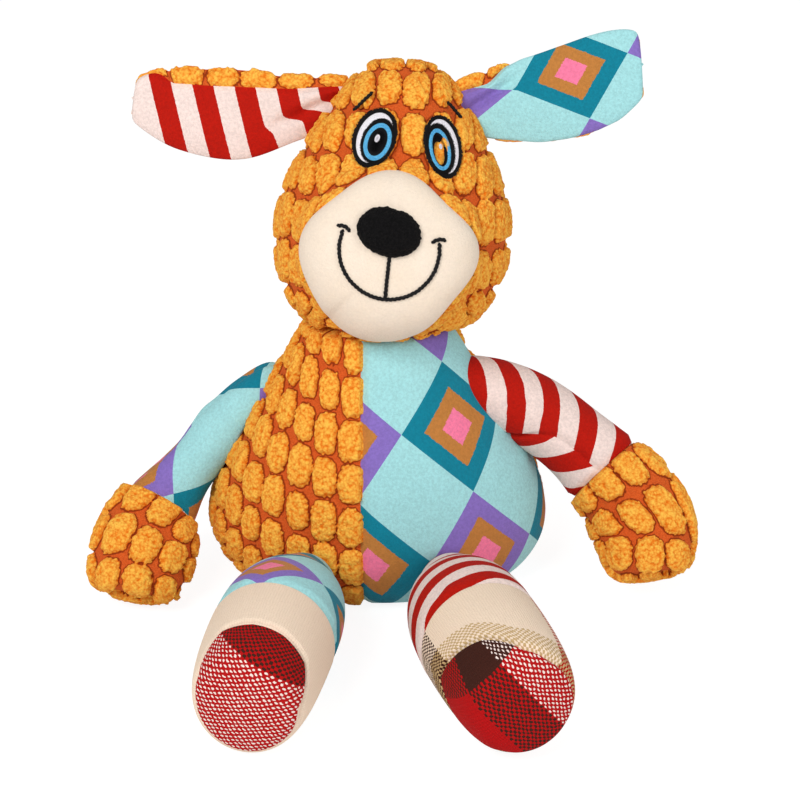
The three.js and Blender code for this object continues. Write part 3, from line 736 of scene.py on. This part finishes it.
# Muzzle: a round pad of cream velour, stuffed and sewn on the face, with a dart at its top and bottom.
# The cloth is cut in a rounded diamond and stands well forward in the middle.
MUZZLE_FRONT = -54.5
MUZZLE_ROUND = 3.0
DART_DEEP = 0.9
MUZZLE_RINGS = 46
MUZZLE_SPOKES = 150
edge_turns = np.linspace(-math.pi, math.pi, 121)
edge_depths = []
for turn in edge_turns:
    spot = MUZZLE_MIDDLE + muzzle_reach(turn) * np.array([math.cos(turn), math.sin(turn)])
    close = np.hypot(face_local[:, 0] - spot[0], face_local[:, 2] - spot[1]) < 1.0
    edge_depths.append(face_local[close, 1].min())


def muzzle_depth(x, z):
    """How far in front the muzzle's cloth lies, on the head's own axes."""
    share = np.clip(muzzle_share(x, z), 0, 1)
    turn = np.arctan2(z - MUZZLE_MIDDLE[1], x - MUZZLE_MIDDLE[0])
    edge = np.interp(turn, edge_turns, edge_depths) + 0.6
    dart = DART_DEEP * np.exp(-((x - MUZZLE_MIDDLE[0]) / 1.8) ** 2) * ease(share, 0.6, 0.95)
    return edge + (MUZZLE_FRONT - edge) * np.sqrt(1 - share ** MUZZLE_ROUND) + dart


share = np.sin(np.linspace(0, math.pi / 2, MUZZLE_RINGS))[:, None]
turn = np.linspace(2 * math.pi, 0, MUZZLE_SPOKES)[None, :]
x = MUZZLE_MIDDLE[0] + share * muzzle_reach(turn) * np.cos(turn)
z = MUZZLE_MIDDLE[1] + share * muzzle_reach(turn) * np.sin(turn)
cream_velour = Finish("cream_velour", roughness=0.9, sheen_weight=0.15, sheen_roughness=0.45)
cream = cream_velour.mix(cream_velour.grain(14.0), dye(246, 226, 203), dye(250, 234, 216))
velour_nap(cream_velour, cream, 0.93)
muzzle = on_head(np.stack([x, muzzle_depth(x, z), z], -1))
muzzle[..., 2] = np.maximum(muzzle[..., 2], NECK[2] + NECK_SEAM)
sew("muzzle", muzzle, np.stack([x, z], -1), cream_velour, "head", ["muzzle_skin"], "cream_velour")

# Nose: a small pad of long black plush, sewn on the upper front of the muzzle.
# It leans to the dog's left and its cut pile stands out all round.
NOSE_MIDDLE = np.array([2.4, -54.0, 40.0])
NOSE_HALF = np.array([13.0, 7.4, 9.8])
NOSE_LEAN = math.radians(-7)
NOSE_TUFT = 0.8
NOSE_ROWS = 120
tilt, turn = np.meshgrid(np.linspace(0, math.pi, NOSE_ROWS), np.linspace(0, 2 * math.pi, 2 * NOSE_ROWS),
                         indexing="ij")
ball = np.stack([np.sin(tilt) * np.cos(turn), np.sin(tilt) * np.sin(turn), np.cos(tilt)], -1)
notch = np.exp(-((ball[..., 0] - 0.1) / 0.2) ** 2) * (ball[..., 2] > 0.5)
lobe = 1 + 0.05 * ball[..., 0] * -ball[..., 2] - 0.06 * notch
pad = ball * NOSE_HALF * lobe[..., None]
tuft = sum(speckle(pad[..., a] / NOSE_TUFT + 40, pad[..., b] / NOSE_TUFT + 40, 51 + a)
           for a, b in ((0, 1), (1, 2), (2, 0)))
pad = pad + ball * (0.2 * tuft)[..., None]
black_plush = Finish("black_plush", roughness=1.0)
black_plush.show("Specular IOR Level", 0.2)
black_hairs = black_plush.specks(0.8, 3.0, 1.2, 3.0)
black_plush.show("Base Color", black_plush.mix(black_hairs, dye(5, 4, 5), dye(22, 20, 21)))
black_plush.raised(black_plush.grain(0.7, 3.0, 0.75), 1.0, 0.9)
nose = on_head(NOSE_MIDDLE + pad @ turning(NOSE_LEAN, 0, 2).T)[:, ::-1]
sew("nose_pad", nose, np.stack([turn, tilt], -1), black_plush, "head", ["nose"], "black_plush")

# Mouth: one thick black thread sewn through the muzzle in short slanting stitches.
# A line drops from the nose to a wide smile, with a small tick across each end of it.
MOUTH_MIDDLE = np.array([3.0, 33.0])
MOUTH_RADIUS = 20.0
MOUTH_ENDS = (160, 372)
MOUTH_TICK = 3.0
MOUTH_THICK = 0.82
MOUTH_LIFT = 0.3
THREAD_STEP = 0.22
STITCH_LONG = 1.7


def thread(path, lift, thick, sides=10):
    """Rows round a thread along a path on the head, thickened by its stitches."""
    run = runs(path[:, None], 0)[:, 0]
    heading = unit(np.gradient(path, axis=0))[:, None]
    across = unit(np.cross(heading, HEAD_TURN[:, 1]))
    out = np.cross(across, heading)
    turn = np.linspace(0, 2 * math.pi, sides)[None, :]
    slant = np.abs(np.sin(math.pi * (run[:, None] / STITCH_LONG + np.cos(turn) * 0.3)))
    taper = np.sqrt(np.clip(np.minimum(run, run[-1] - run) / 0.8, 0.0, 1))[:, None]
    round_ = (thick * taper * (0.74 + 0.34 * slant))[..., None]
    ring = across * np.cos(turn)[..., None] + out * np.sin(turn)[..., None]
    return path[:, None] + HEAD_TURN[:, 1] * -lift + ring * round_


def sewn_thread(name, paths, body, nodes, slot, finish, depth, thick, lift):
    """Several threads as one piece. Each path is places across and up on the head."""
    parts = []
    for path in paths:
        path = np.asarray(path, float)
        run = runs(path[:, None], 0)[:, 0]
        even = np.linspace(0, run[-1], max(int(run[-1] / THREAD_STEP), 8))
        x, z = (np.interp(even, run, path[:, k]) for k in (0, 1))
        wobble = 0.12 * speckle(even / 1.3, 0 * even, 61)
        parts.append(thread(on_head(np.stack([x + wobble, depth(x, z), z], -1)), lift, thick))
    rows = np.concatenate(parts)
    gaps = np.cumsum([len(part) for part in parts])[:-1] - 1
    return sew(name, rows, rows[..., [0, 2]], finish, body, nodes, slot, gaps=gaps)


def stitched(name, colour, lit):
    """Twisted thread, from its shaded colour to its lit one."""
    finish = Finish(name, roughness=0.6)
    finish.show("Base Color", finish.mix(finish.specks(0.45, 2.6, 0.8), colour, lit))
    finish.raised(finish.grain(0.3, 2.0), 0.5, 0.2)
    finish.show("Specular IOR Level", 0.2)
    return finish


black_thread = stitched("black_thread", dye(3, 3, 4), dye(17, 15, 18))
turn = np.radians(np.linspace(*MOUTH_ENDS, 90))
smile = MOUTH_MIDDLE + MOUTH_RADIUS * np.stack([np.cos(turn), np.sin(turn)], -1)
ticks = []
for end in MOUTH_ENDS:
    corner = math.radians(end)
    out = np.array([math.cos(corner), math.sin(corner)])
    side = np.linspace(-1, 1, 12)[:, None]
    ticks.append(MOUTH_MIDDLE + out * MOUTH_RADIUS + side * out * MOUTH_TICK
                 + (1 - side ** 2) * np.array([-out[1], out[0]]) * (1.2 if end > 180 else -1.2))
drop = np.array([[3.4, 34.0], [3.0, 24.0], [2.6, 13.2]])
sewn_thread("mouth", [smile, drop, *ticks], "head", ["mouth_stitching"], "black_thread", black_thread,
            muzzle_depth, MOUTH_THICK, MOUTH_LIFT)

# Eyes: machine embroidery straight through the pile, each with a black rim, a white crescent on its
# outer side, a blue ring and a black pupil with a white glint.
# The threads of each part lie side by side across it, and fleece shows through the left pupil.
STITCH_PITCH = 0.5
STITCH_SPOKES = 900
STITCH_ROWS = 9


def embroidery(outer, inner, eye, lift, crown=0.45):
    """Satin stitches between two ovals, each (across, up, half width, half height) from the eye's middle."""
    lean = math.radians(eye["lean"])
    round_ = 2 * math.pi * math.hypot(outer[2], outer[3]) / math.sqrt(2)
    turn = np.linspace(2 * math.pi, 0, STITCH_SPOKES)[None, :]
    share = np.linspace(0, 1, STITCH_ROWS)[:, None]
    ovals = []
    for across, up, wide, tall in (inner, outer):
        ovals.append((across + wide * np.cos(turn), up + tall * np.sin(turn)))
    x = ovals[0][0] * (1 - share) + ovals[1][0] * share
    z = ovals[0][1] * (1 - share) + ovals[1][1] * share
    stitches = np.cos(turn * round_ / STITCH_PITCH)
    count = np.floor(turn * round_ / (2 * math.pi * STITCH_PITCH))
    ragged = (0.5 * chance(count, 0 * count, 67) - 0.2) * (share == 1) * (outer[2] > 1.5)
    x, z = x + ragged * np.cos(turn), z + ragged * np.sin(turn)
    x, z = (eye["middle"][0] + x * math.cos(lean) - z * math.sin(lean),
            eye["middle"][1] + x * math.sin(lean) + z * math.cos(lean))
    rise = lift + crown * (1 - (2 * share - 1) ** 2) + 0.14 * stitches * np.sin(math.pi * share)
    cloth = np.stack(np.broadcast_arrays(turn * 4, share), -1)
    return on_head(np.stack([x, face_depth(x, z) - rise, z], -1)), cloth


white_thread = stitched("white_thread", dye(222, 216, 222), dye(250, 248, 252))
blue_thread = stitched("blue_thread", dye(56, 150, 206), dye(122, 206, 240))
EYE_STITCHES = {
    "right": {
        "outline": [((0, 0, 8.7, 12.2), (0, 0, 6.9, 10.4), 1.5),
                    ((1.7, -0.7, 6.6, 9.6), (1.7, -1.0, 5.3, 7.7), 1.6)],
        "white": [((0, 0, 7.2, 10.7), (1.5, -0.8, 5.8, 8.4), 1.3),
                  ((1.1, 0.2, 1.0, 1.6), (1.1, 0.2, 0.05, 0.05), 2.0)],
        "iris": [((1.7, -1.0, 5.5, 7.9), (1.7, -1.0, 3.7, 5.9), 1.5)],
        "pupil": [((1.7, -1.0, 3.9, 6.1), (1.7, -1.0, 0.05, 0.05), 1.3)],
    },
    "left": {
        "outline": [((0, 0, 7.6, 12.8), (0, 0, 6.1, 11.1), 1.5),
                    ((-1.2, -0.6, 6.0, 10.7), (-1.5, -0.8, 4.2, 8.4), 1.6)],
        "white": [((0, 0, 6.4, 11.3), (-1.3, -0.7, 4.6, 9.0), 1.3),
                  ((-1.0, 0.3, 0.7, 1.1), (-1.0, 0.3, 0.05, 0.05), 2.4)],
        "iris": [((-1.5, -0.8, 4.4, 8.6), (-1.5, -0.8, 2.8, 6.8), 1.5)],
        "pupil": [((-1.5, -0.8, 2.9, 6.9), (-2.1, -2.2, 1.9, 4.7), 1.5)],
    },
}
THREADS = {"outline": ("black_thread", black_thread), "white": ("white_thread", white_thread),
           "iris": ("blue_thread", blue_thread), "pupil": ("black_thread", black_thread)}
for name, eye in EYES.items():
    for part, rings in EYE_STITCHES[name].items():
        sewn = [embroidery(outer, inner, eye, lift) for outer, inner, lift in rings]
        gaps = np.cumsum([len(places) for places, _ in sewn])[:-1] - 1
        slot, finish = THREADS[part]
        sew(f"eye_{name}_{part}_stitches", np.concatenate([places for places, _ in sewn]),
            np.concatenate([cloth for _, cloth in sewn]), finish, "head", [f"eye_{name}_{part}"], slot,
            gaps=gaps)

# Brows: one slanting stitch of black thread over each eye.
# It is drawn tight over the kernels, so it stands clear of the ground between them.
BROW_THICK = 0.75
BROW_LIFT = 2.4
BROWS = {"right": ((-15.7, 86.0), (-8.0, 94.2)), "left": ((22.4, 92.4), (29.0, 86.0))}
for name, ends in BROWS.items():
    sewn_thread(f"brow_{name}_stitch", [ends], "head", [f"brow_{name}"], "black_thread", black_thread,
                face_depth, BROW_THICK, BROW_LIFT)

# Ears: two cloths sewn back to back and turned, corn fleece behind and a printed lining in front.
# The right ear hangs level, with its fleece rolled over the top edge; the left ear stands up and out.
EAR_THICK = 7
EAR_ROOT = 9
EAR_SEAM = -1.0
EAR_STEPS = {"lining": 1.0, "back": 0.6}
EAR_KERNELS = ((9.6, 15.4), 0.06, 2.0)
LAST_STRIPE = 85.5
EARS = {
    "right": {"side": -1, "up": 0.845, "long": 86, "rise": -4, "sag": 6.5,
              "half_widths": [12, 14, 19, 18.5, 15]},
    "left": {"side": 1, "up": 0.85, "long": 76, "rise": 17, "sag": 4.5,
             "half_widths": [13, 16, 19, 20.5, 20]},
}


def stripes(name, period, slant=0.0, phase=0.0):
    """Printed bands of red and pinkish white across the cloth's length."""
    finish = Finish(name, roughness=0.9)
    x, y = finish.cloth()
    band = ((y + x * slant + (finish.grain(1.0) - 0.5) * 0.5) / period + phase).fract() > 0.5
    velour_nap(finish, finish.mix(band, dye(190, 20, 2), dye(250, 228, 220)), 0.80)
    return finish


ear_stripes = stripes("ear_stripes", 17.4, 0.0, 0.0575)
ear_argyle = argyle("ear_argyle", (21.1, 2.0), (28.0, -18.7), (21.0, 22.8))
for name, ear in EARS.items():
    side, rise = ear["side"], math.radians(ear["rise"])
    root_share = (ear["up"] * FACE_TALL + HEAD_SINK) / HEAD_TALL
    root = head.place(root_share, 0.0 if side > 0 else math.pi)
    pointing = HEAD_TURN @ np.array([side * math.cos(rise), 0, math.sin(rise)])
    upward = HEAD_TURN @ np.array([-side * math.sin(rise), 0, math.cos(rise)])
    spine = [root - EAR_ROOT * pointing, root + pointing * ear["long"] / 2 - upward * ear["sag"],
             root + ear["long"] * pointing]
    form = StuffedForm(spine, ear["half_widths"], [EAR_THICK / 2] * 5, HEAD_TURN[:, 1],
                       (0.3, 0.35 if side < 0 else 0.28))
    for part, step in EAR_STEPS.items():
        rings = form.rings(0, 1, 0.0, step)
        out = (rings * form.long - EAR_ROOT)[:, None]
        if side < 0:
            edges = [-math.pi - 0.4 + 0 * rings, -0.95 + 0.8 * ease(rings, 0.82, 0.96)]
        else:
            edges = [-math.pi - 0.4 + 1.3 * (1 - ease(out[:, 0], 8, 28)),
                     0.12 + 0.3 * speckle(out[:, 0] / 9, 0 * rings, 79)]
        if part == "back":
            edges = [edges[1], edges[0] + 2 * math.pi]
        base = sweep(form, rings, *edges, step)
        if side > 0:
            p, q = (base - root) @ pointing, (base - root) @ upward
            base = base + pointing * (0.26 * q * ease(p, 36, 78))[..., None]
        from_edge, to_edge = edge_runs(base)
        ending = np.broadcast_to(form.long - EAR_ROOT - out, from_edge.shape)
        p, q = (base - root) @ pointing, (base - root) @ upward
        if part == "lining":
            crease = (-0.4 - 0.41 * p if side < 0 else -2.2 + 0.38 * p) - q
            near_root = 1 - ease(p, 14, 32)
            fold = 2.6 * np.exp(-(crease / 2.2) ** 2) * near_root
            fold = fold - 1.2 * np.exp(-((crease + 5) / 3) ** 2) * near_root
            sag = 0.7 * speckle(p / 22 + 9, q / 16 + 9, 71)
            rise = hemmed(sag - fold, from_edge, to_edge, ending, deep=EAR_SEAM)
            shift = 8.7 * (1 - ease(p, 8, 38)) * ease(crease, -2.5, 4.0)
            gathered = 22 - np.maximum(22 - p, 0) * 0.45 + np.maximum(p - 22, 0)
            slanted = np.minimum(p - 0.23 * (q - 4) + shift, LAST_STRIPE)
            cloth = np.stack([q, slanted] if side < 0 else [gathered, q], -1)
            finish, slot = (ear_stripes, "striped_velour") if side < 0 else (ear_argyle, "argyle_velour")
            nap = None
        else:
            from_top = from_edge if side < 0 else to_edge
            height, nap = corn(from_top + 0.6, p + 5.0, 73 + side, *EAR_KERNELS)
            rise = hemmed(height - 1.3, from_edge, to_edge, ending, deep=EAR_SEAM, reach=CORN_HEM)
            cloth, finish, slot = np.stack([from_edge, p], -1), corn_fleece, "corn_plush"
        piece = sew(f"ear_{name}_{part}_cloth", lifted(base, rise), cloth, finish, None,
                    [f"ear_{name}_{part}"], slot, nap)
        root * MM
        (root + 12 * pointing) * MM
        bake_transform(piece)

# Arms: a printed sleeve and a corn fleece mitten, each in a front and a back cloth.
# They are stuffed firmly at the hand. The sleeve's closed root is caught in the body's side seam
# under the neck, and the sleeve lies against the body.
SHOULDER_HEIGHT = 90
DEEPEST = -1.9
SMOOTH_HEM = 3.2
SLEEVE_STEP = 1.3
HAND_STEP = 0.6
HAND_KERNELS = ((13.4, 18.5), 0.12, 3.2)
ARMS = {
    "right": {"side": -1,
              "steps": [(-4, 0, 0), (21, -4, -24), (48, -20, -54), (55, -39, -66), (58, -54, -81)],
              "half_widths": [13, 12.5, 13.5, 22, 27], "half_depths": [13, 13, 13, 15, 17], "wrist": 0.64},
    "left": {"side": 1,
             "steps": [(-12, -9, 3), (25, -9, -17), (52, -18, -38), (68, -32, -56), (71, -47, -75)],
             "half_widths": [15.5, 16, 16.5, 22.5, 25], "half_depths": [19, 18, 15, 15, 17], "wrist": 0.6},
}


def clear_of_body(places, gap=0.4):
    """Cloth that lies on the body's side, not in it."""
    share = np.interp(places[..., 2], body.line[:, 2], body.run / body.long)
    half = np.stack([body.wide(share), body.deep(share)], -1) * body.full(share)[..., None] + gap
    middle = body.along(body.line, share)[..., :2]
    off = (places[..., :2] - middle) / half
    over = np.linalg.norm(off, axis=-1, keepdims=True)
    out = middle + off / np.maximum(over, 1e-6) * half
    places = places.copy()
    places[..., :2] = np.where((over < 1) & (places[..., 2:] < NECK[2]), out, places[..., :2])
    return places


def caught_in_seam(places, root_share=0.2):
    """A limb laid against the body, its closed root left in the body where the seam catches it."""
    laid = clear_of_body(places)
    sunk = np.linalg.norm(laid - places, axis=-1, keepdims=True)
    root = 1 - ease(np.linspace(0, 1, len(places)), root_share, root_share * 1.6)[:, None, None]
    return laid + (places - laid) * root * ease(sunk, 0.6, 2.4)


sleeve_argyle = argyle("sleeve_argyle", (-28.1, 104.3), (-26.0, -28.0), (28.8, -29.9))
sleeve_stripes = stripes("sleeve_stripes", 19.85, -0.566, 0.292)
sleeve_stripes_back = stripes("sleeve_stripes_back", 22.4, 0.677, 0.665)
for name, arm in ARMS.items():
    side, wrist = arm["side"], arm["wrist"]
    share = np.interp(SHOULDER_HEIGHT, body.line[:, 2], body.run / body.long)
    behind = np.arcsin((SIDE_SEAM - body.along(body.line, share)[1]) / (body.deep(share) * body.full(share)))
    shoulder = body.place(share, behind if side > 0 else math.pi - behind)
    form = StuffedForm([shoulder + np.array([side * out, ahead, up]) for out, ahead, up in arm["steps"]],
                       arm["half_widths"], arm["half_depths"], (0, -1, 0), (0.5, 0.35))
    parts = (("sleeve", 0, wrist, SLEEVE_STEP), ("hand", wrist, 1, HAND_STEP))
    for part, near, far, step in parts:
        rings = form.rings(near, far, math.pi / 2, step)
        upper_seam, lower_seam = 0 * rings, math.pi + 0 * rings
        if side > 0 and part == "sleeve":
            upper_seam, lower_seam = upper_seam - 0.7, lower_seam - 1.65 * ease(rings, 0.1, 0.42)
        halves = (("front", upper_seam, lower_seam), ("back", lower_seam, upper_seam + 2 * math.pi))
        for half, first, last in halves:
            base = sweep(form, rings, first, last, step)
            from_edge, to_edge = edge_runs(base)
            if half == "front":
                middle = (math.pi / 2 - first) / (last - first) * (base.shape[1] - 1)
                middle = np.minimum(np.rint(middle).astype(int), base.shape[1] - 1)
                across = from_edge - np.take_along_axis(from_edge, middle[:, None], 1)
                far_across = across[:, -1:]
            else:
                across = far_across + from_edge
            along = lengths(base, base.shape[1] // 2)
            to_wrist = along if part == "hand" else along.max() - along
            if part == "sleeve":
                elbow = np.exp(-((along - along.max() * 0.5) / 20) ** 2)
                crease = 0.7 * speckle(along / 9, across / 26, 81 + side) * elbow
                rise = hemmed(0.3 + crease, from_edge, to_edge, deep=-0.9, reach=SMOOTH_HEM)
                rise = hemmed(rise, to_wrist, reach=SMOOTH_HEM)
                finish, slot, nap = sleeve_argyle, "argyle_velour", None
                if side > 0:
                    finish = sleeve_stripes if half == "front" else sleeve_stripes_back
                    slot = "striped_velour"
                    fold = np.exp(-((along - 44) / 10) ** 2)
                    rise = rise - fold * np.exp(-(to_edge if half == "front" else from_edge) / 3.0)
                else:
                    rise = rise - 1.8 * ease(along, 40, 66)
            else:
                height, nap = corn(across + 6.7, along + 3.0, 91 + side, *HAND_KERNELS)
                rise = hemmed(CORN_GROUND + height, from_edge, to_edge, reach=CORN_HEM)
                rise = hemmed(rise, to_wrist, deep=DEEPEST, reach=CORN_HEM)
                finish, slot = corn_fleece, "corn_plush"
            places = lifted(base, np.maximum(rise, DEEPEST))
            cloth = np.stack([across, along], -1)
            places = caught_in_seam(places) if part == "sleeve" else clear_of_body(places)
            sew(f"{part}_{name}_{half}_cloth", places, cloth, finish, f"arm_{name}",
                [f"{part}_{name}_{half}"], slot, nap)

# Legs: a printed trouser tube and a woven foot with a plaid sole, stuffed and sewn in at the seat's front.
# The foot's cloth is one coarse plain weave, cream on top and checked over the toes.
HIPS = {"right": (-32.851, -63.184, 20.651), "left": (32.854, -63.193, 20.650)}
LEG_AWAY = (0.27838, -0.953991, -0.111382)
LEG_ROOT = 18
LEG_LONG = 95
KNEE_SHARE = 0.36
KNEE_OUT = 6
FEET_OUT = {"right": 15, "left": 23}
FOOT_MIDDLE = 26.0
LEG_HALF_WIDTHS = [19, 24, 25, 25, 25]
LEG_HALF_HEIGHTS = [18, 22.5, 25, 26.5, 26.5]
ANKLE_SHARE = 0.56
SOLE_EDGES = {
    "right": [21, 20, 19.5, 20, 21, 22.6, 22.8, 34, 36.8, 37.6, 36.5, 24],
    "left": [47.8, 40, 22, 21, 20.5, 20.5, 21.5, 21, 21, 24.5, 36, 42],
}
TROUSER_STEP = 1.2
TROUSER_ROOT = 0.5
FOOT_SPOKES = 250
TOE_DOME = 5.0
FOOT_GIRTH = 35
YARNS = (1.5, 1.0)
# Painted shade in the pits between the yarns of the woven feet.
PIT_SHADE = (0.66, 0.58, 0.52, 1)


def plaid(name, turn, warps, wefts):
    """A plain weave of coloured yarns. Each list gives the colour from an edge on, in millimetres."""
    finish = Finish(name, roughness=0.95)
    x, y = finish.cloth()
    c, s = math.cos(math.radians(turn)), math.sin(math.radians(turn))
    p = x * c + y * s + (finish.grain(2.2) - 0.5) * 1.6
    q = y * c - x * s + (finish.grain(3.4) - 0.5) * 1.4
    over = ((p / YARNS[0]).floor() + (q / YARNS[1]).floor()) * 0.5
    bulge_p = abs((p / YARNS[0]).fract() - 0.5) * 2
    bulge_q = abs((q / YARNS[1]).fract() - 0.5) * 2
    lint = finish.specks(0.5, 2.6, 0.8)
    colours = []
    for place, bands, pitch in ((p, warps, YARNS[0]), (q, wefts, YARNS[1])):
        place = (place / pitch).floor() * pitch
        colour, fullness = bands[0][1:]
        for edge, next_colour, next_fullness in bands[1:]:
            colour = finish.mix(place > edge, colour, next_colour)
            fullness = (place > edge) * (next_fullness - bands[0][2]) + fullness
        colours.append(colour)
    dot = (bulge_p * bulge_p + bulge_q * bulge_q * 1.5 + (lint - 0.5) * 0.9) < fullness
    woven = finish.mix((over.fract() > 0.25) * dot, colours[0], colours[1])
    # Painted shade: the pits between the yarns are darkened by PIT_SHADE, and random lint darkens some specks
    # a little.
    pit_shade_share = (bulge_p.greatest(bulge_q) * 3.0 - 2.0).clipped()
    shade = finish.shaded(woven, PIT_SHADE)
    finish.show("Base Color", finish.mix((pit_shade_share * 0.3 + (1 - lint) * 0.12).clipped(), woven, shade))
    finish.raised(1 - (bulge_p * bulge_p + bulge_q * bulge_q) * 0.5 + lint * 0.3, 0.8, 0.3)
    finish.show("Specular IOR Level", 0.15)
    return finish


YARN_CREAM = (dye(254, 232, 208), 2.0)
YARN_WHITE = (dye(246, 226, 218), 0.8)
YARN_RED = (dye(184, 14, 16), 2.0)
YARN_BROWN = (dye(66, 32, 24), 2.0)
YARN_TAN = (dye(206, 174, 124), 2.0)
leg_argyle = argyle("leg_argyle", (-67.0, 56.0), (24.0, 16.0), (24.0, -16.0))
leg_stripes = stripes("leg_stripes", 15.0, 0.0, 0.05)
soles = {
    "right": plaid("sole_plaid_right", -28, [(0, *YARN_RED)],
                   [(0, *YARN_WHITE), (17.0, *YARN_BROWN), (34.2, *YARN_RED)]),
    "left": plaid("sole_plaid_left", -48.3, [(0, *YARN_BROWN), (-22.0, *YARN_RED)],
                  [(0, *YARN_RED), (-13.8, *YARN_BROWN), (4.8, *YARN_WHITE)]),
}
uppers = {
    "right": plaid("upper_weave_right", 0, [(0, *YARN_CREAM)], [(0, *YARN_CREAM)]),
    "left": plaid("upper_weave_left", 0, [(0, *YARN_RED), (-30.0, *YARN_CREAM), (42.0, *YARN_BROWN)],
                  [(0, *YARN_TAN), (9.5, *YARN_CREAM)]),
}
for name, hip in HIPS.items():
    side, hip = (-1 if name == "right" else 1), np.array(hip)
    away = np.array(LEG_AWAY) * (side, 1, 1)
    knee = hip + np.array([side * KNEE_OUT, -LEG_LONG * KNEE_SHARE, (hip[2] + 2 * FOOT_MIDDLE) / 3 - hip[2]])
    toe = np.array([hip[0] + side * FEET_OUT[name], hip[1] - LEG_LONG, FOOT_MIDDLE])
    form = StuffedForm([hip - LEG_ROOT * away, hip, knee, toe], LEG_HALF_WIDTHS, LEG_HALF_HEIGHTS,
                       (0, 0, 1), (0.6, 0.2))
    rings = form.rings(0, ANKLE_SHARE, math.pi / 2, TROUSER_STEP)
    base = sweep(form, rings, -math.pi / 2, 1.5 * math.pi, TROUSER_STEP)
    across = runs(base, 1)
    across = across - across[:, -1:] / 2
    along = lengths(base, base.shape[1] // 2)
    to_ankle = along.max() - along
    pucker = 0.6 * speckle(across / 6, along / 14, 101) * np.exp(-to_ankle / 12)
    rise = hemmed(0.3 + pucker, to_ankle, reach=SMOOTH_HEM)
    trouser = settle(caught_in_seam(lifted(base, rise), TROUSER_ROOT))
    bent = along if side < 0 else along - 0.25 * np.abs(across + 18)
    finish = leg_argyle if side < 0 else leg_stripes
    piece = sew(f"trouser_{name}", trouser, np.stack([across, bent], -1), finish, None,
                [f"leg_{name}"], "argyle_velour" if side < 0 else "striped_velour")
    (hip - 16 * away) * MM
    (hip - 2 * away) * MM
    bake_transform(piece)

    whole = form.rings(ANKLE_SHARE, 1, math.pi / 2, 0.4)
    run = runs(form.place(whole, math.pi / 2)[:, None], 0)[:, 0]
    angle = np.linspace(-math.pi / 2, 1.5 * math.pi, FOOT_SPOKES)[None, :]
    knots = np.radians(np.arange(-180, 180, 30))
    edge = np.interp(angle, knots, SOLE_EDGES[name], period=2 * math.pi)
    for part, start, stop, rows in (("upper", run[-1] + 0 * edge, edge, 60), ("sole", edge, 0 * edge, 56)):
        reach = start + (stop - start) * np.linspace(0, 1, rows)[:, None]
        share = np.interp(run[-1] - reach, run, whole)
        heading = unit(form.along(form.heading, share))
        dome = TOE_DOME * ease(share, 0.8, 1.0) * (1 - form.full(share) ** 2)
        base = form.place(share, angle) + heading * dome[..., None]
        if part == "upper":
            rise = hemmed(0.3, start - reach, reach - stop, reach=2.4)
            cloth = np.stack([(angle - math.pi / 2) * FOOT_GIRTH + 0 * reach, reach - stop], -1)
            finish, slot = uppers, "cream_weave"
        else:
            rise = hemmed(0.5, start - reach, reach=2.0)
            cloth = np.stack([reach * np.cos(angle), reach * np.sin(angle)], -1)
            finish, slot = soles, "plaid_weave"
        places = settle(lifted(base, rise))
        sew(f"{part}_{name}", places, cloth, finish[name], f"leg_{name}", [f"foot_{name}_{part}"], slot)

# Inside: fluffy filling in each stuffed piece and a plastic squeaker with its reed in the belly.
# They keep the solids' shapes, because the cloths hide them.
BELLOWS_RIBS = 3
BELLOWS_RIB_DEEP = 3.5
BELLOWS_ROWS = 73
BELLOWS_SPOKES = 65
filling = Finish("fibre_filling", roughness=1.0, sheen_weight=0.3)
fluff = filling.specks(1.5, 2, 0.5, 4.0)
filling.show("Base Color", filling.mix(fluff, dye(224, 222, 214), dye(248, 247, 243)))
filling.raised(filling.grain(1.2, 4.0), 1.0, 1.0)
squeaker_plastic = Finish("squeaker_plastic", roughness=0.45)
cloudy = squeaker_plastic.grain(6.0)
squeaker_plastic.show("Base Color", squeaker_plastic.mix(cloudy, dye(228, 225, 214), dye(240, 238, 230)))
reed_plastic = Finish("reed_plastic", roughness=0.4)
reed_plastic.show("Base Color", reed_plastic.mix(reed_plastic.grain(3.0), dye(192, 62, 50), dye(208, 80, 66)))
bpy.context.view_layer.update()
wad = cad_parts["body_stuffing_front"]
belly_filling = bpy.data.objects.new("belly_filling", wad.data.copy())
belly_filling.data.transform(wad.matrix_world)
belly_filling.data.materials.clear()
belly_filling.data.materials.append(filling.material)
bpy.context.collection.objects.link(belly_filling)
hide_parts("body_stuffing_front")
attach(belly_filling, "torso")
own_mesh(belly_filling)

low, high = (np.array(corner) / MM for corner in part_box("squeaker_bellows"))
along, turn = np.meshgrid(np.linspace(0, 1, BELLOWS_ROWS), np.linspace(0, 2 * math.pi, BELLOWS_SPOKES),
                          indexing="ij")
radius = (high[0] - low[0]) / 2 - BELLOWS_RIB_DEEP * (1 + np.cos(2 * math.pi * BELLOWS_RIBS * along)) / 2
bellows = np.stack([radius * np.cos(turn), (high[1] - low[1]) * (along - 0.5), radius * np.sin(turn)], -1)
piece = sew("bellows_wall", bellows + (low + high) / 2, np.stack([turn, along], -1), squeaker_plastic,
            "torso", ["squeaker_bellows"], "squeaker_plastic")
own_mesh(piece)
for node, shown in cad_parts.items():
    if not shown.hide_render:
        finish = filling if "stuffing" in node else squeaker_plastic
        if node == "squeaker_reed":
            finish = reed_plastic
        for k in range(len(shown.material_slots)):
            shown.material_slots[k].material = finish.material
